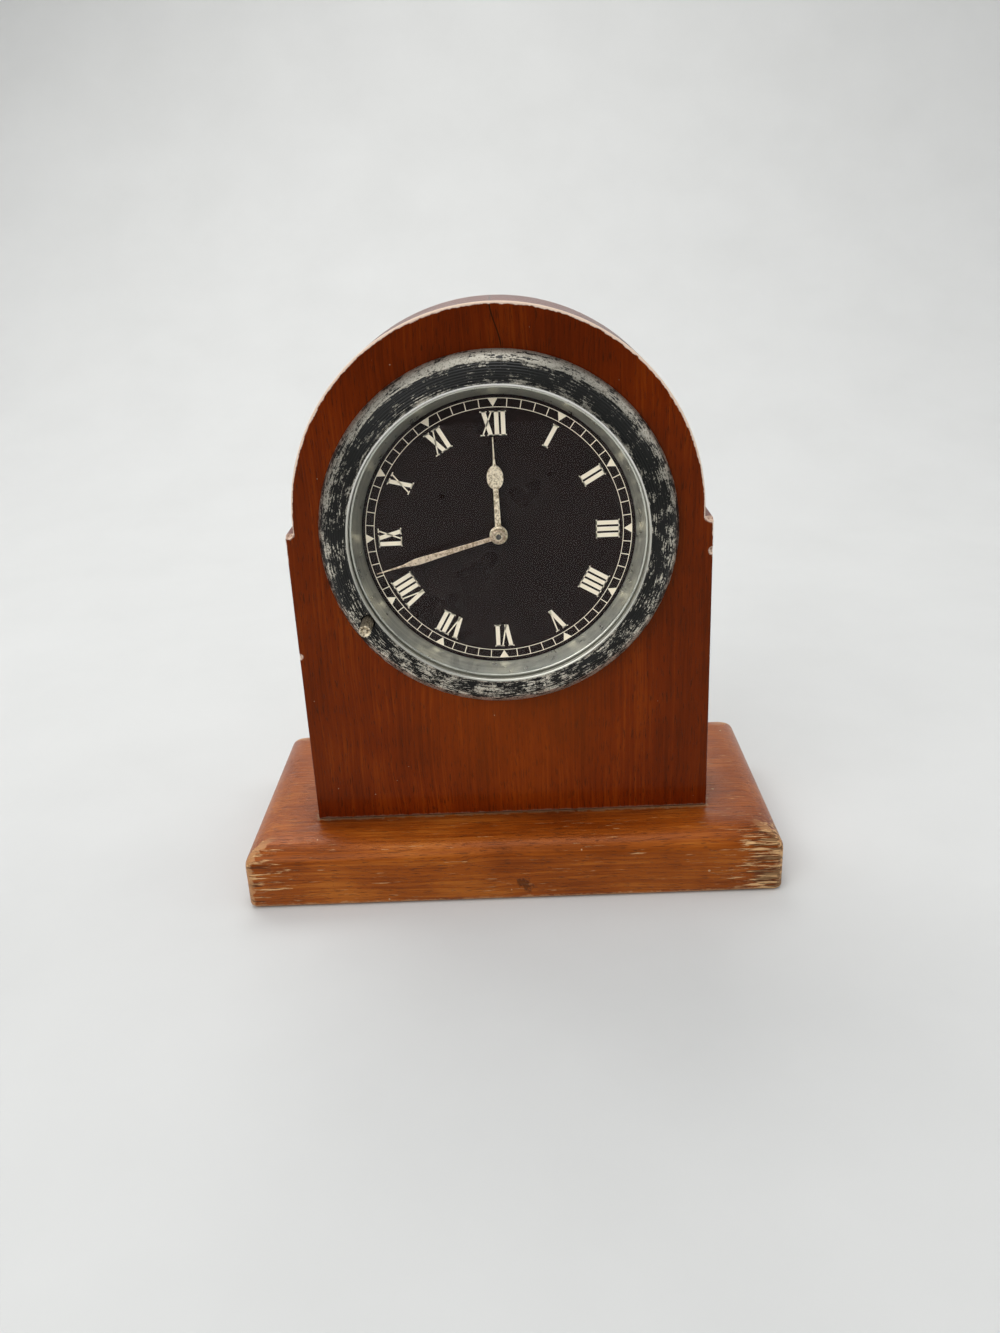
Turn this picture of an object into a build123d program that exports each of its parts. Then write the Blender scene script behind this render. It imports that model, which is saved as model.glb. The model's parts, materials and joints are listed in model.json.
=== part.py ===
from build123d import *
import os
from math import acos, atan2, cos, degrees, radians, sin

# Wooden case, in millimetres: X runs to the right, Y from front to back, Z up.
HEIGHT = 144.7
BASE_WIDTH = 136.0
BASE_DEPTH = 71.0
BASE_HEIGHT = 17.0
BASE_ROUND_OUT = 7.6
BASE_ROUND_DOWN = 5.0
BASE_NOSE_RADIUS = 3.8
BASE_FOOT_EDGE = 1.5
BODY_WIDTH = 101.6
BODY_DEPTH = 23.0
BODY_FRONT = -20.3
BODY_EDGE = 0.8
SHOULDER_STEP = 2.0
SHOULDER_DROP = 2.0
DIAL_DROP = 3.6
BASE_SCREW_SPREAD = 60.0
BASE_SCREW_LENGTH = 27.0
BASE_SCREW_SHANK = 1.6
BASE_SCREW_HEAD = 3.4
BASE_SCREW_SINK = 1.0

# Clearances shared by the pieces that fit together.
RUN = 0.05
SEAT = 0.02
HOLE_GAP = 0.08
BORE_GAP = 0.4
FREE = 0.3

# Toothing: module, tooth numbers and the bearing from one arbor to the next, in degrees from the right.
ADDENDUM = 0.95
DEDENDUM = 1.05
TOOTH_SHARE = 0.25
LEAF_ADDENDUM = 0.6
LEAF_DEDENDUM = 1.15
LEAF_TIP_SHARE = 0.1
LEAF_ROOT_SHARE = 0.2
BARREL_MODULE, BARREL_TEETH, CENTRE_LEAVES, BARREL_BEARING = 0.66, 42, 6, 150.0
CENTRE_MODULE, CENTRE_TEETH, THIRD_LEAVES, THIRD_BEARING = 0.4, 48, 6, 20.0
THIRD_MODULE, THIRD_TEETH, FOURTH_LEAVES, FOURTH_BEARING = 0.4, 45, 6, -60.0
FOURTH_MODULE, FOURTH_TEETH, ESCAPE_LEAVES, ESCAPE_BEARING = 0.33, 48, 6, -120.0
MOTION_MODULE, CANNON_LEAVES, MINUTE_TEETH, MINUTE_BEARING = 0.36, 10, 30, -30.0
MINUTE_LEAVES, HOUR_TEETH = 8, 32
RING_TEETH, WINDING_LEAVES, RATCHET_TEETH = 54, 8, 16
ESCAPE_TEETH, ESCAPE_RADIUS, ESCAPE_DEPTH = 15, 5.0, 1.2
ESCAPE_TIP_SHARE, ESCAPE_BACK_SHARE = 0.4, 0.55

# Escapement: lever and balance lie on one line from the escape arbor.
LEVER_BEARING = 200.0
LEVER_DISTANCE = 6.8
BALANCE_DISTANCE = 10.5
PALLET_PIN = 0.25
PALLET_SPREAD = 32.0
PALLET_CLEAR = 0.4
LEVER_WIDTH = 1.0
BALANCE_RADIUS = 8.5
BALANCE_RIM = 1.0
BALANCE_BAR = 1.6
ROLLER_RADIUS = 2.4
IMPULSE_REACH = 1.9
IMPULSE_PIN = 0.3
HAIRSPRING_INNER, HAIRSPRING_OUTER, HAIRSPRING_TURNS, HAIRSPRING_THICK = 1.45, 5.9, 4, 0.18
SPIRAL_STEPS = 12

# Heights along the clock axis, from the front of the wood towards the viewer.
DIAL_THICK = 0.6
WORKS_DEPTH = 3.0
PLATE_THICK = 1.4
PLATE_GAP = 14.0
CAP_THICK = 1.0
WHEEL_THICK = 0.8
BARREL_COVER = 0.6
BARREL_WALL = 0.6
BARREL_FLOOR = 1.0
HOUR_HAND_Z = 1.7
MINUTE_HAND_Z = 3.0
HAND_THICK = 0.4
THIRD_WHEEL_DROP = 2.96
FOURTH_WHEEL_DROP = 3.52
ESCAPE_WHEEL_DROP = 3.36
BARREL_LIFT = 1.5
WORKS_GAP = 0.2
HOUR_WHEEL_GAP = 0.6

# Radii of arbors, pillars and pipes.
ARBOR = 0.5
CENTRE_ARBOR = 0.6
CANNON_PIPE = 1.0
HOUR_PIPE_WALL = 0.5
BARREL_ARBOR = 1.5
BARREL_HUB = 2.8
ARBOR_SQUARE = 2.0
MAINSPRING_THICK = 0.35
MAINSPRING_TURNS = 5
STUD = 0.6
WINDING_STUD = 1.0
PILLAR = 1.8
PILLAR_BEARING = 60.0
MOVEMENT_SCREW = 0.8
DIAL_FOOT = 0.7
DIAL_FOOT_BEARING = 100.0

# Drum, rim and glass, each outwards from the movement's plates.
PLATE_EDGE = 2.6
DRUM_SPACE = 3.8
DRUM_WALL = 0.8
FLANGE_WIDTH = 3.4
FLANGE_THICK = 0.8
FLANGE_SCREW = 0.7
FLANGE_SCREW_HEAD = 1.25
FLANGE_SCREW_LENGTH = 8.0
FLANGE_SCREW_SINK = 0.56
FLANGE_SCREW_REACH = 1.9
LIP_DEPTH = 0.75
RING_LEDGE = 0.8
RING_BACKING = 1.5
COLLAR_WALL = 0.95
SKIRT_WALL = 1.25
SKIRT_HEIGHT = 1.3
CROWN_HEIGHT = 6.5
CROWN_WIDTH = 2.2
CROWN_FALL = 0.45
BEAD_WIDTH, BEAD_HEIGHT = 1.3, 4.1
SLOPE_WIDTH, SLOPE_HEIGHT = 3.1, 5.6
GLASS_BED = 0.5
GLASS_HEIGHT = 4.2
GLASS_THICK = 1.2
GLASS_EDGE = 0.25
RIM_LAP = 0.45
SIGHT_WIDTH = 2.4
SIGHT_THICK = 0.6
SIGHT_LIP = 0.9

# Setting plunger, a ridged button that stands out of a stepped hole in the front of the rim.
PLUNGER_BEARING = 210.5
PLUNGER_INSET = 5.2
PLUNGER_HEAD = 1.45
PLUNGER_REACH = 6.0
PLUNGER_SINK = 3.6
PLUNGER_STEM = 0.75
STEM_SINK = 1.5
PLUNGER_TRAVEL = 0.8
PLUNGER_RIDGES = 14
PLUNGER_NOTCH = 0.13
PLUNGER_GAP = 0.15
DISH_RADIUS, DISH_DEPTH = 0.7, 0.6

# Click on the ratchet wheel.
CLICK_DISTANCE = 14.6
CLICK_BEARING = 60.0
CLICK_NOSE_BEARING = 32.0
CLICK_CLEAR = 0.2
CLICK_BOSS = 1.5
CLICK_WIDTH = 2.2

# Hands, as they stand in the photograph, in degrees clockwise from the top.
HOUR_ANGLE = -0.9
MINUTE_ANGLE = 255.0
HOUR_LENGTH = 23.0
HOUR_STEM = 1.1
HOUR_STEM_BELLY = 1.4
HOUR_BULB = 13.5
HOUR_BULB_WIDTH = 3.9
HOUR_BULB_LENGTH = 6.4
MINUTE_LENGTH = 30.3
MINUTE_STEM = 0.9
MINUTE_BELLY = 1.64
MINUTE_BELLY_REACH = 19.4
MINUTE_NECK = 0.52
MINUTE_NECK_REACH = 24.2
HAND_POINT = 0.24
HOUR_BOSS = 2.15
MINUTE_BOSS = 1.6

# Heights worked out from the stack.
DIAL_BACK = -DIAL_THICK
FRONT_FACE = DIAL_BACK - WORKS_DEPTH
FRONT_INSIDE = FRONT_FACE - PLATE_THICK
BACK_INSIDE = FRONT_INSIDE - PLATE_GAP
BACK_FACE = BACK_INSIDE - PLATE_THICK
CAP_FACE = BACK_FACE - CAP_THICK
CENTRE_WHEEL_Z = FRONT_INSIDE - 2 * WHEEL_THICK
THIRD_WHEEL_Z = CENTRE_WHEEL_Z - THIRD_WHEEL_DROP
FOURTH_WHEEL_Z = THIRD_WHEEL_Z - FOURTH_WHEEL_DROP
ESCAPE_WHEEL_Z = FOURTH_WHEEL_Z - ESCAPE_WHEEL_DROP
BARREL_Z = BACK_INSIDE + BARREL_LIFT
BARREL_FRONT = FRONT_INSIDE - 3 * WHEEL_THICK
RATCHET_Z = FRONT_FACE + WORKS_GAP
HOUR_WHEEL_Z = DIAL_BACK - HOUR_WHEEL_GAP - WHEEL_THICK


def polar(radius, bearing, start=(0, 0)):
    """Point at a radius and bearing from a start, seen from the front."""
    return (start[0] + radius * cos(radians(bearing)), start[1] + radius * sin(radians(bearing)))


def mesh(bearing_a, teeth_a, teeth_b, direction):
    """Bearing of a tooth of wheel B that stands in a gap of wheel A, B lying in a direction from A."""
    pitches = (direction - bearing_a) * teeth_a / 360
    return direction + 180 + (pitches + 0.5) * 360 / teeth_b


# Radii from the movement outwards to the rim.
BARREL_DISTANCE = BARREL_MODULE * (BARREL_TEETH + CENTRE_LEAVES) / 2
BARREL_TIP = BARREL_MODULE * (BARREL_TEETH / 2 + ADDENDUM)
PLATE = BARREL_DISTANCE + BARREL_TIP + PLATE_EDGE
DRUM_INSIDE = PLATE + DRUM_SPACE
DRUM = DRUM_INSIDE + DRUM_WALL
FLANGE = DRUM + FLANGE_WIDTH
SKIRT = FLANGE + FREE
RIM = SKIRT + SKIRT_WALL
RING = DRUM_INSIDE - FREE / 2
COLLAR = RING - RING_LEDGE
COLLAR_BORE = COLLAR - COLLAR_WALL
DIAL = COLLAR_BORE - FREE
GLASS = COLLAR_BORE + GLASS_BED
OPENING = GLASS + RUN - RIM_LAP
COLLAR_END = -LIP_DEPTH - FREE / 2
PILLAR_CIRCLE = PLATE - PLATE_EDGE - FREE / 2
RING_MODULE = 2 * (RING - RING_BACKING) / (RING_TEETH + 2 * DEDENDUM)

# Places of the arbors, and the tooth bearings that put each pair in mesh.
CENTRE_SPOT = (0, 0)
BARREL_SPOT = polar(BARREL_DISTANCE, BARREL_BEARING)
THIRD_SPOT = polar(CENTRE_MODULE * (CENTRE_TEETH + THIRD_LEAVES) / 2, THIRD_BEARING)
FOURTH_SPOT = polar(THIRD_MODULE * (THIRD_TEETH + FOURTH_LEAVES) / 2, FOURTH_BEARING, THIRD_SPOT)
ESCAPE_SPOT = polar(FOURTH_MODULE * (FOURTH_TEETH + ESCAPE_LEAVES) / 2, ESCAPE_BEARING, FOURTH_SPOT)
LEVER_SPOT = polar(LEVER_DISTANCE, LEVER_BEARING, ESCAPE_SPOT)
BALANCE_SPOT = polar(BALANCE_DISTANCE, LEVER_BEARING, LEVER_SPOT)
MINUTE_SPOT = polar(MOTION_MODULE * (CANNON_LEAVES + MINUTE_TEETH) / 2, MINUTE_BEARING)
WINDING_DISTANCE = RING_MODULE * (RING_TEETH - WINDING_LEAVES) / 2
RATCHET_DISTANCE = RING_MODULE * (RATCHET_TEETH + WINDING_LEAVES) / 2
WINDING_COSINE = (WINDING_DISTANCE**2 + BARREL_DISTANCE**2 - RATCHET_DISTANCE**2) / (
    2 * WINDING_DISTANCE * BARREL_DISTANCE
)
WINDING_BEARING = BARREL_BEARING + degrees(acos(WINDING_COSINE))
WINDING_SPOT = polar(WINDING_DISTANCE, WINDING_BEARING)
RATCHET_DIRECTION = degrees(atan2(BARREL_SPOT[1] - WINDING_SPOT[1], BARREL_SPOT[0] - WINDING_SPOT[0]))
CLICK_SPOT = polar(CLICK_DISTANCE, CLICK_BEARING, BARREL_SPOT)
RATCHET_TIP = RING_MODULE * (RATCHET_TEETH / 2 + ADDENDUM)

BARREL_TOOTH = mesh(0, CENTRE_LEAVES, BARREL_TEETH, BARREL_BEARING)
THIRD_TOOTH = mesh(0, CENTRE_TEETH, THIRD_LEAVES, THIRD_BEARING)
FOURTH_TOOTH = mesh(THIRD_TOOTH, THIRD_TEETH, FOURTH_LEAVES, FOURTH_BEARING)
ESCAPE_TOOTH = mesh(FOURTH_TOOTH, FOURTH_TEETH, ESCAPE_LEAVES, ESCAPE_BEARING)
MINUTE_TOOTH = mesh(0, CANNON_LEAVES, MINUTE_TEETH, MINUTE_BEARING)
HOUR_TOOTH = mesh(MINUTE_TOOTH, MINUTE_LEAVES, HOUR_TEETH, MINUTE_BEARING + 180)
RATCHET_TOOTH = mesh(0, WINDING_LEAVES, RATCHET_TEETH, RATCHET_DIRECTION)
RING_TOOTH = WINDING_BEARING + (0.5 - WINDING_BEARING * WINDING_LEAVES / 360) * 360 / RING_TEETH

# The wooden case.
BASE_CROWN_RADIUS = (BASE_ROUND_OUT**2 - 2 * BASE_ROUND_OUT * BASE_NOSE_RADIUS + BASE_ROUND_DOWN**2) / (
    2 * (BASE_ROUND_DOWN - BASE_NOSE_RADIUS)
)
BASE_CROWN_TURN = degrees(atan2(BASE_ROUND_OUT - BASE_NOSE_RADIUS, BASE_CROWN_RADIUS - BASE_ROUND_DOWN))
ARCH = BODY_WIDTH / 2 - SHOULDER_STEP
ARCH_Z = HEIGHT - ARCH
SHOULDER_Z = ARCH_Z - SHOULDER_DROP
DIAL_Z = ARCH_Z - DIAL_DROP
BODY_MIDDLE = BODY_FRONT + BODY_DEPTH / 2
FACE = Plane(origin=(0, BODY_FRONT, DIAL_Z), x_dir=(1, 0, 0), z_dir=(0, -1, 0))


def disc(radius, low, high, spot=(0, 0), bore=0):
    """Round plate, pin or pipe between two heights."""
    face = Circle(radius) - Circle(bore) if bore else Circle(radius)
    return Pos(*spot, low) * extrude(face, high - low)


def turned(outline):
    """Ring or cup turned about the clock axis from an outline of radius and height."""
    return revolve(Plane.XZ * make_face(outline), Axis.Z)


def bar(start, end, start_width, end_width):
    """Flat tapered bar between two points."""
    along = (Vector(*end) - Vector(*start)).normalized()
    side = Vector(-along.Y, along.X)
    corners = [
        Vector(*start) - side * start_width / 2,
        Vector(*end) - side * end_width / 2,
        Vector(*end) + side * end_width / 2,
        Vector(*start) + side * start_width / 2,
    ]
    return make_face(Polyline(*corners, close=True))


def toothed(teeth, module, bearing, inward=False):
    """Outline of a wheel, or of the bore of an internal ring, with a pointed tooth at the bearing."""
    sign = -1 if inward else 1
    tip = module * (teeth / 2 + sign * ADDENDUM)
    root = module * (teeth / 2 - sign * DEDENDUM)
    step = 360 / teeth
    corners = []
    for tooth in range(teeth):
        middle = bearing + tooth * step
        corners.append(polar(root, middle - TOOTH_SHARE * step))
        corners.append(polar(tip, middle))
        corners.append(polar(root, middle + TOOTH_SHARE * step))
    return make_face(Polyline(*corners, close=True))


def leaved(leaves, module, bearing):
    """Outline of a pinion with a flat-topped leaf at the bearing."""
    tip = module * (leaves / 2 + LEAF_ADDENDUM)
    root = module * (leaves / 2 - LEAF_DEDENDUM)
    step = 360 / leaves
    corners = []
    for leaf in range(leaves):
        middle = bearing + leaf * step
        corners.append(polar(root, middle - LEAF_ROOT_SHARE * step))
        corners.append(polar(tip, middle - LEAF_TIP_SHARE * step))
        corners.append(polar(tip, middle + LEAF_TIP_SHARE * step))
        corners.append(polar(root, middle + LEAF_ROOT_SHARE * step))
    return make_face(Polyline(*corners, close=True))


def wheel(spot, outline, low, thick, bore):
    """Wheel or pinion with a round bore."""
    return Pos(*spot, low) * extrude(outline - Circle(bore), thick)


def arbor(spot, leaves=0, module=0, bearing=0, low=0, high=0):
    """Arbor that turns in both plates and, where it has leaves, its pinion."""
    shaft = disc(ARBOR, BACK_FACE + FREE, FRONT_FACE - FREE, spot)
    if leaves:
        shaft += Pos(*spot, low) * extrude(leaved(leaves, module, bearing), high - low)
    return shaft


def spiral(inner, outer, turns, thick, low, high, start):
    """Flat spiral strip wound outwards from the inner radius."""
    count = turns * SPIRAL_STEPS
    inside, outside = [], []
    for k in range(count + 1):
        radius = inner + (outer - inner) * k / count
        inside.append(polar(radius, start + 360 * k / SPIRAL_STEPS))
        outside.append(polar(radius + thick, start + 360 * k / SPIRAL_STEPS))
    strip = make_face(Polyline(*inside, *reversed(outside), close=True))
    return Pos(0, 0, low) * extrude(strip, high - low)


def around(piece, count, bearing=0):
    """Copies of a piece, evenly spaced round the clock axis."""
    return Part() + [Rot(0, 0, bearing + 360 * k / count) * piece for k in range(count)]


def base_plinth():
    """Plinth whose rounded top edges meet in mitres at the corners."""

    def section(width):
        half = width / 2
        start = (half - BASE_ROUND_OUT, BASE_HEIGHT)
        crown = JernArc(start, (1, 0), BASE_CROWN_RADIUS, -BASE_CROWN_TURN)
        nose = JernArc(crown @ 1, crown % 1, BASE_NOSE_RADIUS, BASE_CROWN_TURN - 90)
        foot = [nose @ 1, (half, BASE_FOOT_EDGE), (half - BASE_FOOT_EDGE, 0), (0, 0), (0, BASE_HEIGHT)]
        side = make_face(Line((0, BASE_HEIGHT), start) + crown + nose + Polyline(*foot))
        return side + mirror(side, Plane.YZ)

    along = extrude(Plane.YZ * section(BASE_DEPTH), BASE_WIDTH / 2, both=True)
    across = extrude(Plane.XZ * section(BASE_WIDTH), BASE_DEPTH / 2, both=True)
    return (along & across) - base_screws(HOLE_GAP)


def base_screws(gap=0.0):
    """Two countersunk wood screws up through the plinth, or their holes."""
    head, shank = BASE_SCREW_HEAD + gap, BASE_SCREW_SHANK + gap
    low, high = BASE_SCREW_SINK - gap, BASE_SCREW_SINK + BASE_SCREW_LENGTH + gap
    if gap:
        entry = [(0, -gap), (head, -gap), (head, low)]
    else:
        entry = [(0, low), (head, low)]
    taper = low + BASE_SCREW_HEAD - BASE_SCREW_SHANK
    outline = Polyline(*entry, (shank, taper), (shank, high), (0, high), close=True)
    screw = turned(outline)
    return Part() + [Pos(x, BODY_MIDDLE, 0) * screw for x in (-BASE_SCREW_SPREAD / 2, BASE_SCREW_SPREAD / 2)]


def case_body():
    """Arched block with a small shoulder each side, bored through for the drum."""
    half = BODY_WIDTH / 2
    right = [(half, BASE_HEIGHT), (half, SHOULDER_Z), (ARCH, SHOULDER_Z), (ARCH, ARCH_Z)]
    left = [(-ARCH, ARCH_Z), (-ARCH, SHOULDER_Z), (-half, SHOULDER_Z), (-half, BASE_HEIGHT)]
    arch = ThreePointArc((ARCH, ARCH_Z), (0, HEIGHT), (-ARCH, ARCH_Z))
    outline = Polyline(*right) + arch + Polyline(*left) + Line(left[-1], right[0])
    block = Pos(0, BODY_FRONT + BODY_DEPTH, 0) * extrude(Plane.XZ * make_face(outline), BODY_DEPTH)
    front = block.edges().group_by(Axis.Y)[0] - block.edges().group_by(Axis.Z)[0]
    back = block.edges().group_by(Axis.Y)[-1] - block.edges().group_by(Axis.Z)[0]
    block = chamfer(front + back, BODY_EDGE)
    bore = FACE * disc(DRUM + BORE_GAP, -BODY_DEPTH - FREE, FREE)
    return block - bore - base_screws(HOLE_GAP) - FACE * flange_screws(HOLE_GAP)


def flange_screws(gap=0.0):
    """Three countersunk screws that hold the flange to the wood, or their holes."""
    head, shank = FLANGE_SCREW_HEAD + gap, FLANGE_SCREW + gap
    top, end = FLANGE_THICK, FLANGE_THICK - FLANGE_SCREW_LENGTH - gap
    neck = top - FLANGE_SCREW_SINK
    outline = Polyline((0, top), (head, top), (shank, neck), (shank, end), (0, end), close=True)
    return around(Pos(DRUM + FLANGE_SCREW_REACH, 0, 0) * turned(outline), 3, 90)


def drum_case():
    """Flanged drum with an inward lip in which the rim's collar turns."""
    lip = COLLAR + RUN
    outline = Polyline(
        (lip, FLANGE_THICK),
        (FLANGE, FLANGE_THICK),
        (FLANGE, 0),
        (DRUM, 0),
        (DRUM, BACK_FACE),
        (DRUM_INSIDE, BACK_FACE),
        (DRUM_INSIDE, -LIP_DEPTH),
        (lip, -LIP_DEPTH),
        close=True,
    )
    return turned(outline) - flange_screws(HOLE_GAP)


def back_cap():
    """Back cap with a spigot that pushes into the drum."""
    spigot = DRUM_INSIDE - SEAT
    outline = Polyline(
        (0, CAP_FACE),
        (DRUM, CAP_FACE),
        (DRUM, BACK_FACE),
        (spigot, BACK_FACE),
        (spigot, BACK_FACE + 3 * DRUM_WALL),
        (spigot - DRUM_WALL, BACK_FACE + 3 * DRUM_WALL),
        (spigot - DRUM_WALL, BACK_FACE),
        (0, BACK_FACE),
        close=True,
    )
    return turned(outline) - movement_screws(HOLE_GAP)


def movement_screws(gap=0.0):
    """Three screws from behind, through cap and back plate into the pillars, or their holes."""
    shank = MOVEMENT_SCREW + gap
    screw = disc(shank, CAP_FACE - gap, BACK_INSIDE + PLATE_GAP / 3 + gap)
    if not gap:
        screw += disc(2 * MOVEMENT_SCREW, CAP_FACE - MOVEMENT_SCREW, CAP_FACE)
    return around(Pos(PILLAR_CIRCLE, 0, 0) * screw, 3, PILLAR_BEARING)


def pillars():
    """Three pillars, pressed into the front plate and drilled for the screws at the back."""
    pillar = disc(PILLAR, BACK_INSIDE, FRONT_FACE)
    return around(Pos(PILLAR_CIRCLE, 0, 0) * pillar, 3, PILLAR_BEARING) - movement_screws(HOLE_GAP)


def front_plate():
    """Front plate with the pillar, arbor, stud and dial foot holes."""
    plate = disc(PLATE, FRONT_INSIDE, FRONT_FACE)
    holes = [(ARBOR + RUN, spot) for spot in (THIRD_SPOT, FOURTH_SPOT, ESCAPE_SPOT, LEVER_SPOT, BALANCE_SPOT)]
    holes += [(CENTRE_ARBOR + RUN, CENTRE_SPOT), (BARREL_ARBOR + RUN, BARREL_SPOT)]
    holes += [(STUD + SEAT, MINUTE_SPOT), (WINDING_STUD + SEAT, WINDING_SPOT), (STUD + SEAT, CLICK_SPOT)]
    holes += [(PILLAR + SEAT, polar(PILLAR_CIRCLE, PILLAR_BEARING + 120 * k)) for k in range(3)]
    holes += [(DIAL_FOOT + SEAT, spot) for spot in dial_foot_spots()]
    for radius, spot in holes:
        plate -= disc(radius, FRONT_INSIDE - FREE, FRONT_FACE + FREE, spot)
    return plate


def back_plate():
    """Back plate with the arbor and screw holes."""
    plate = disc(PLATE, BACK_FACE, BACK_INSIDE) - movement_screws(HOLE_GAP)
    holes = [(ARBOR + RUN, spot) for spot in (THIRD_SPOT, FOURTH_SPOT, ESCAPE_SPOT, LEVER_SPOT, BALANCE_SPOT)]
    holes += [(CENTRE_ARBOR + RUN, CENTRE_SPOT), (BARREL_ARBOR + RUN, BARREL_SPOT)]
    for radius, spot in holes:
        plate -= disc(radius, BACK_FACE - FREE, BACK_INSIDE + FREE, spot)
    return plate


def dial_foot_spots():
    """Places of the two dial feet."""
    return [polar(PILLAR_CIRCLE - PILLAR, DIAL_FOOT_BEARING + 180 * k) for k in range(2)]


def dial():
    """Dial plate with its two soldered feet."""
    plate = disc(DIAL, DIAL_BACK, 0, bore=CANNON_PIPE + RUN + HOUR_PIPE_WALL + FREE)
    for spot in dial_foot_spots():
        plate += disc(DIAL_FOOT, FRONT_INSIDE, DIAL_BACK, spot)
    return plate


def rim():
    """Turning rim: skirt over the flange, sloping front, glass bed and inner collar."""
    under = FLANGE_THICK + FREE
    lap = GLASS_HEIGHT + GLASS_THICK + RUN
    outline = Polyline(
        (RIM, SKIRT_HEIGHT),
        (RIM - BEAD_WIDTH, BEAD_HEIGHT),
        (RIM - SLOPE_WIDTH, SLOPE_HEIGHT),
        (OPENING + CROWN_WIDTH, CROWN_HEIGHT),
        (OPENING, CROWN_HEIGHT - CROWN_FALL),
        (OPENING, lap),
        (GLASS + RUN, lap),
        (GLASS + RUN, GLASS_HEIGHT),
        (COLLAR_BORE, GLASS_HEIGHT),
        (COLLAR_BORE, COLLAR_END),
        (COLLAR, COLLAR_END),
        (COLLAR, under),
        (SKIRT, under),
        (SKIRT, FREE),
        (RIM, FREE),
        close=True,
    )
    return turned(outline) - plunger_hole()


def plunger_hole():
    """Stepped blind hole in the front of the rim, wide for the plunger's head and narrow for its stem."""
    spot = polar(RIM - PLUNGER_INSET, PLUNGER_BEARING)
    floor = CROWN_HEIGHT - PLUNGER_SINK
    wide = disc(PLUNGER_HEAD + PLUNGER_GAP, floor, CROWN_HEIGHT + FREE, spot)
    return wide + disc(PLUNGER_STEM + RUN, floor - STEM_SINK, floor, spot)


def setting_plunger():
    """Ridged plunger head with a dished end, on a stem that slides in the rim."""
    spot = polar(RIM - PLUNGER_INSET, PLUNGER_BEARING)
    start = CROWN_HEIGHT - PLUNGER_SINK + PLUNGER_TRAVEL + FREE
    end = CROWN_HEIGHT + PLUNGER_REACH
    corners = []
    for ridge in range(PLUNGER_RIDGES):
        corners.append(polar(PLUNGER_HEAD, 360 * ridge / PLUNGER_RIDGES))
        corners.append(polar(PLUNGER_HEAD - PLUNGER_NOTCH, 360 * (ridge + 0.5) / PLUNGER_RIDGES))
    head = Pos(*spot, start) * extrude(make_face(Polyline(*corners, close=True)), end - start)
    head -= disc(DISH_RADIUS, end - DISH_DEPTH, end, spot)
    return head + disc(PLUNGER_STEM, start - STEM_SINK, start, spot)


def glass():
    """Flat glass with ground edges."""
    plate = disc(GLASS, GLASS_HEIGHT, GLASS_HEIGHT + GLASS_THICK)
    return chamfer(plate.edges().group_by(Axis.Z)[-1], GLASS_EDGE)


def sight_ring():
    """Bright cone between the glass and the dial."""
    outside = COLLAR_BORE - SEAT
    outline = Polyline(
        (outside, GLASS_HEIGHT),
        (outside, GLASS_HEIGHT - SIGHT_LIP),
        (outside - SIGHT_WIDTH + SIGHT_THICK / 2, FREE),
        (outside - SIGHT_WIDTH, FREE),
        close=True,
    )
    return turned(outline)


def winding_ring():
    """Internal toothed ring, fixed to the end of the rim's collar behind the drum's lip."""
    low = FRONT_FACE + WORKS_GAP
    ring = extrude(Circle(RING) - toothed(RING_TEETH, RING_MODULE, RING_TOOTH, inward=True), COLLAR_END - low)
    return Pos(0, 0, low) * ring


def winding_pinion():
    """Pinion between the winding ring and the ratchet wheel."""
    low, high = FRONT_FACE + WORKS_GAP, DIAL_BACK - FREE
    return wheel(WINDING_SPOT, leaved(WINDING_LEAVES, RING_MODULE, 0), low, high - low, WINDING_STUD + RUN)


def winding_stud():
    """Fixed stud of the winding pinion."""
    return disc(WINDING_STUD, FRONT_INSIDE, DIAL_BACK - FREE, WINDING_SPOT)


def ratchet_wheel():
    """Ratchet wheel on the square of the barrel arbor."""
    side = ARBOR_SQUARE + 2 * SEAT
    face = toothed(RATCHET_TEETH, RING_MODULE, RATCHET_TOOTH) - Rectangle(side, side)
    return Pos(*BARREL_SPOT, RATCHET_Z) * extrude(face, WHEEL_THICK)


def click():
    """Click that holds the ratchet wheel."""
    nose = polar(RATCHET_TIP + CLICK_CLEAR, CLICK_NOSE_BEARING, BARREL_SPOT)
    face = Pos(*CLICK_SPOT) * Circle(CLICK_BOSS) + bar(CLICK_SPOT, nose, CLICK_WIDTH, CLICK_CLEAR)
    face -= Pos(*CLICK_SPOT) * Circle(STUD + RUN)
    return Pos(0, 0, RATCHET_Z) * extrude(face, WHEEL_THICK)


def click_screw():
    """Shoulder screw of the click."""
    under = RATCHET_Z + WHEEL_THICK + RUN
    return disc(STUD, FRONT_INSIDE, under, CLICK_SPOT) + disc(2 * STUD, under, under + STUD, CLICK_SPOT)


def barrel_drum():
    """Going barrel: toothed floor with its wall."""
    wall = BARREL_MODULE * (BARREL_TEETH / 2 - DEDENDUM) - BARREL_WALL
    teeth = toothed(BARREL_TEETH, BARREL_MODULE, BARREL_TOOTH)
    floor = wheel(BARREL_SPOT, teeth, BARREL_Z, BARREL_FLOOR, BARREL_ARBOR + RUN)
    cup = disc(wall, BARREL_Z + BARREL_FLOOR, BARREL_FRONT - BARREL_COVER, BARREL_SPOT, wall - BARREL_WALL)
    return floor + cup


def barrel_cover():
    """Lid of the going barrel."""
    radius = BARREL_MODULE * (BARREL_TEETH / 2 - DEDENDUM) - BARREL_WALL
    return disc(radius, BARREL_FRONT - BARREL_COVER, BARREL_FRONT, BARREL_SPOT, BARREL_ARBOR + RUN)


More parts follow.
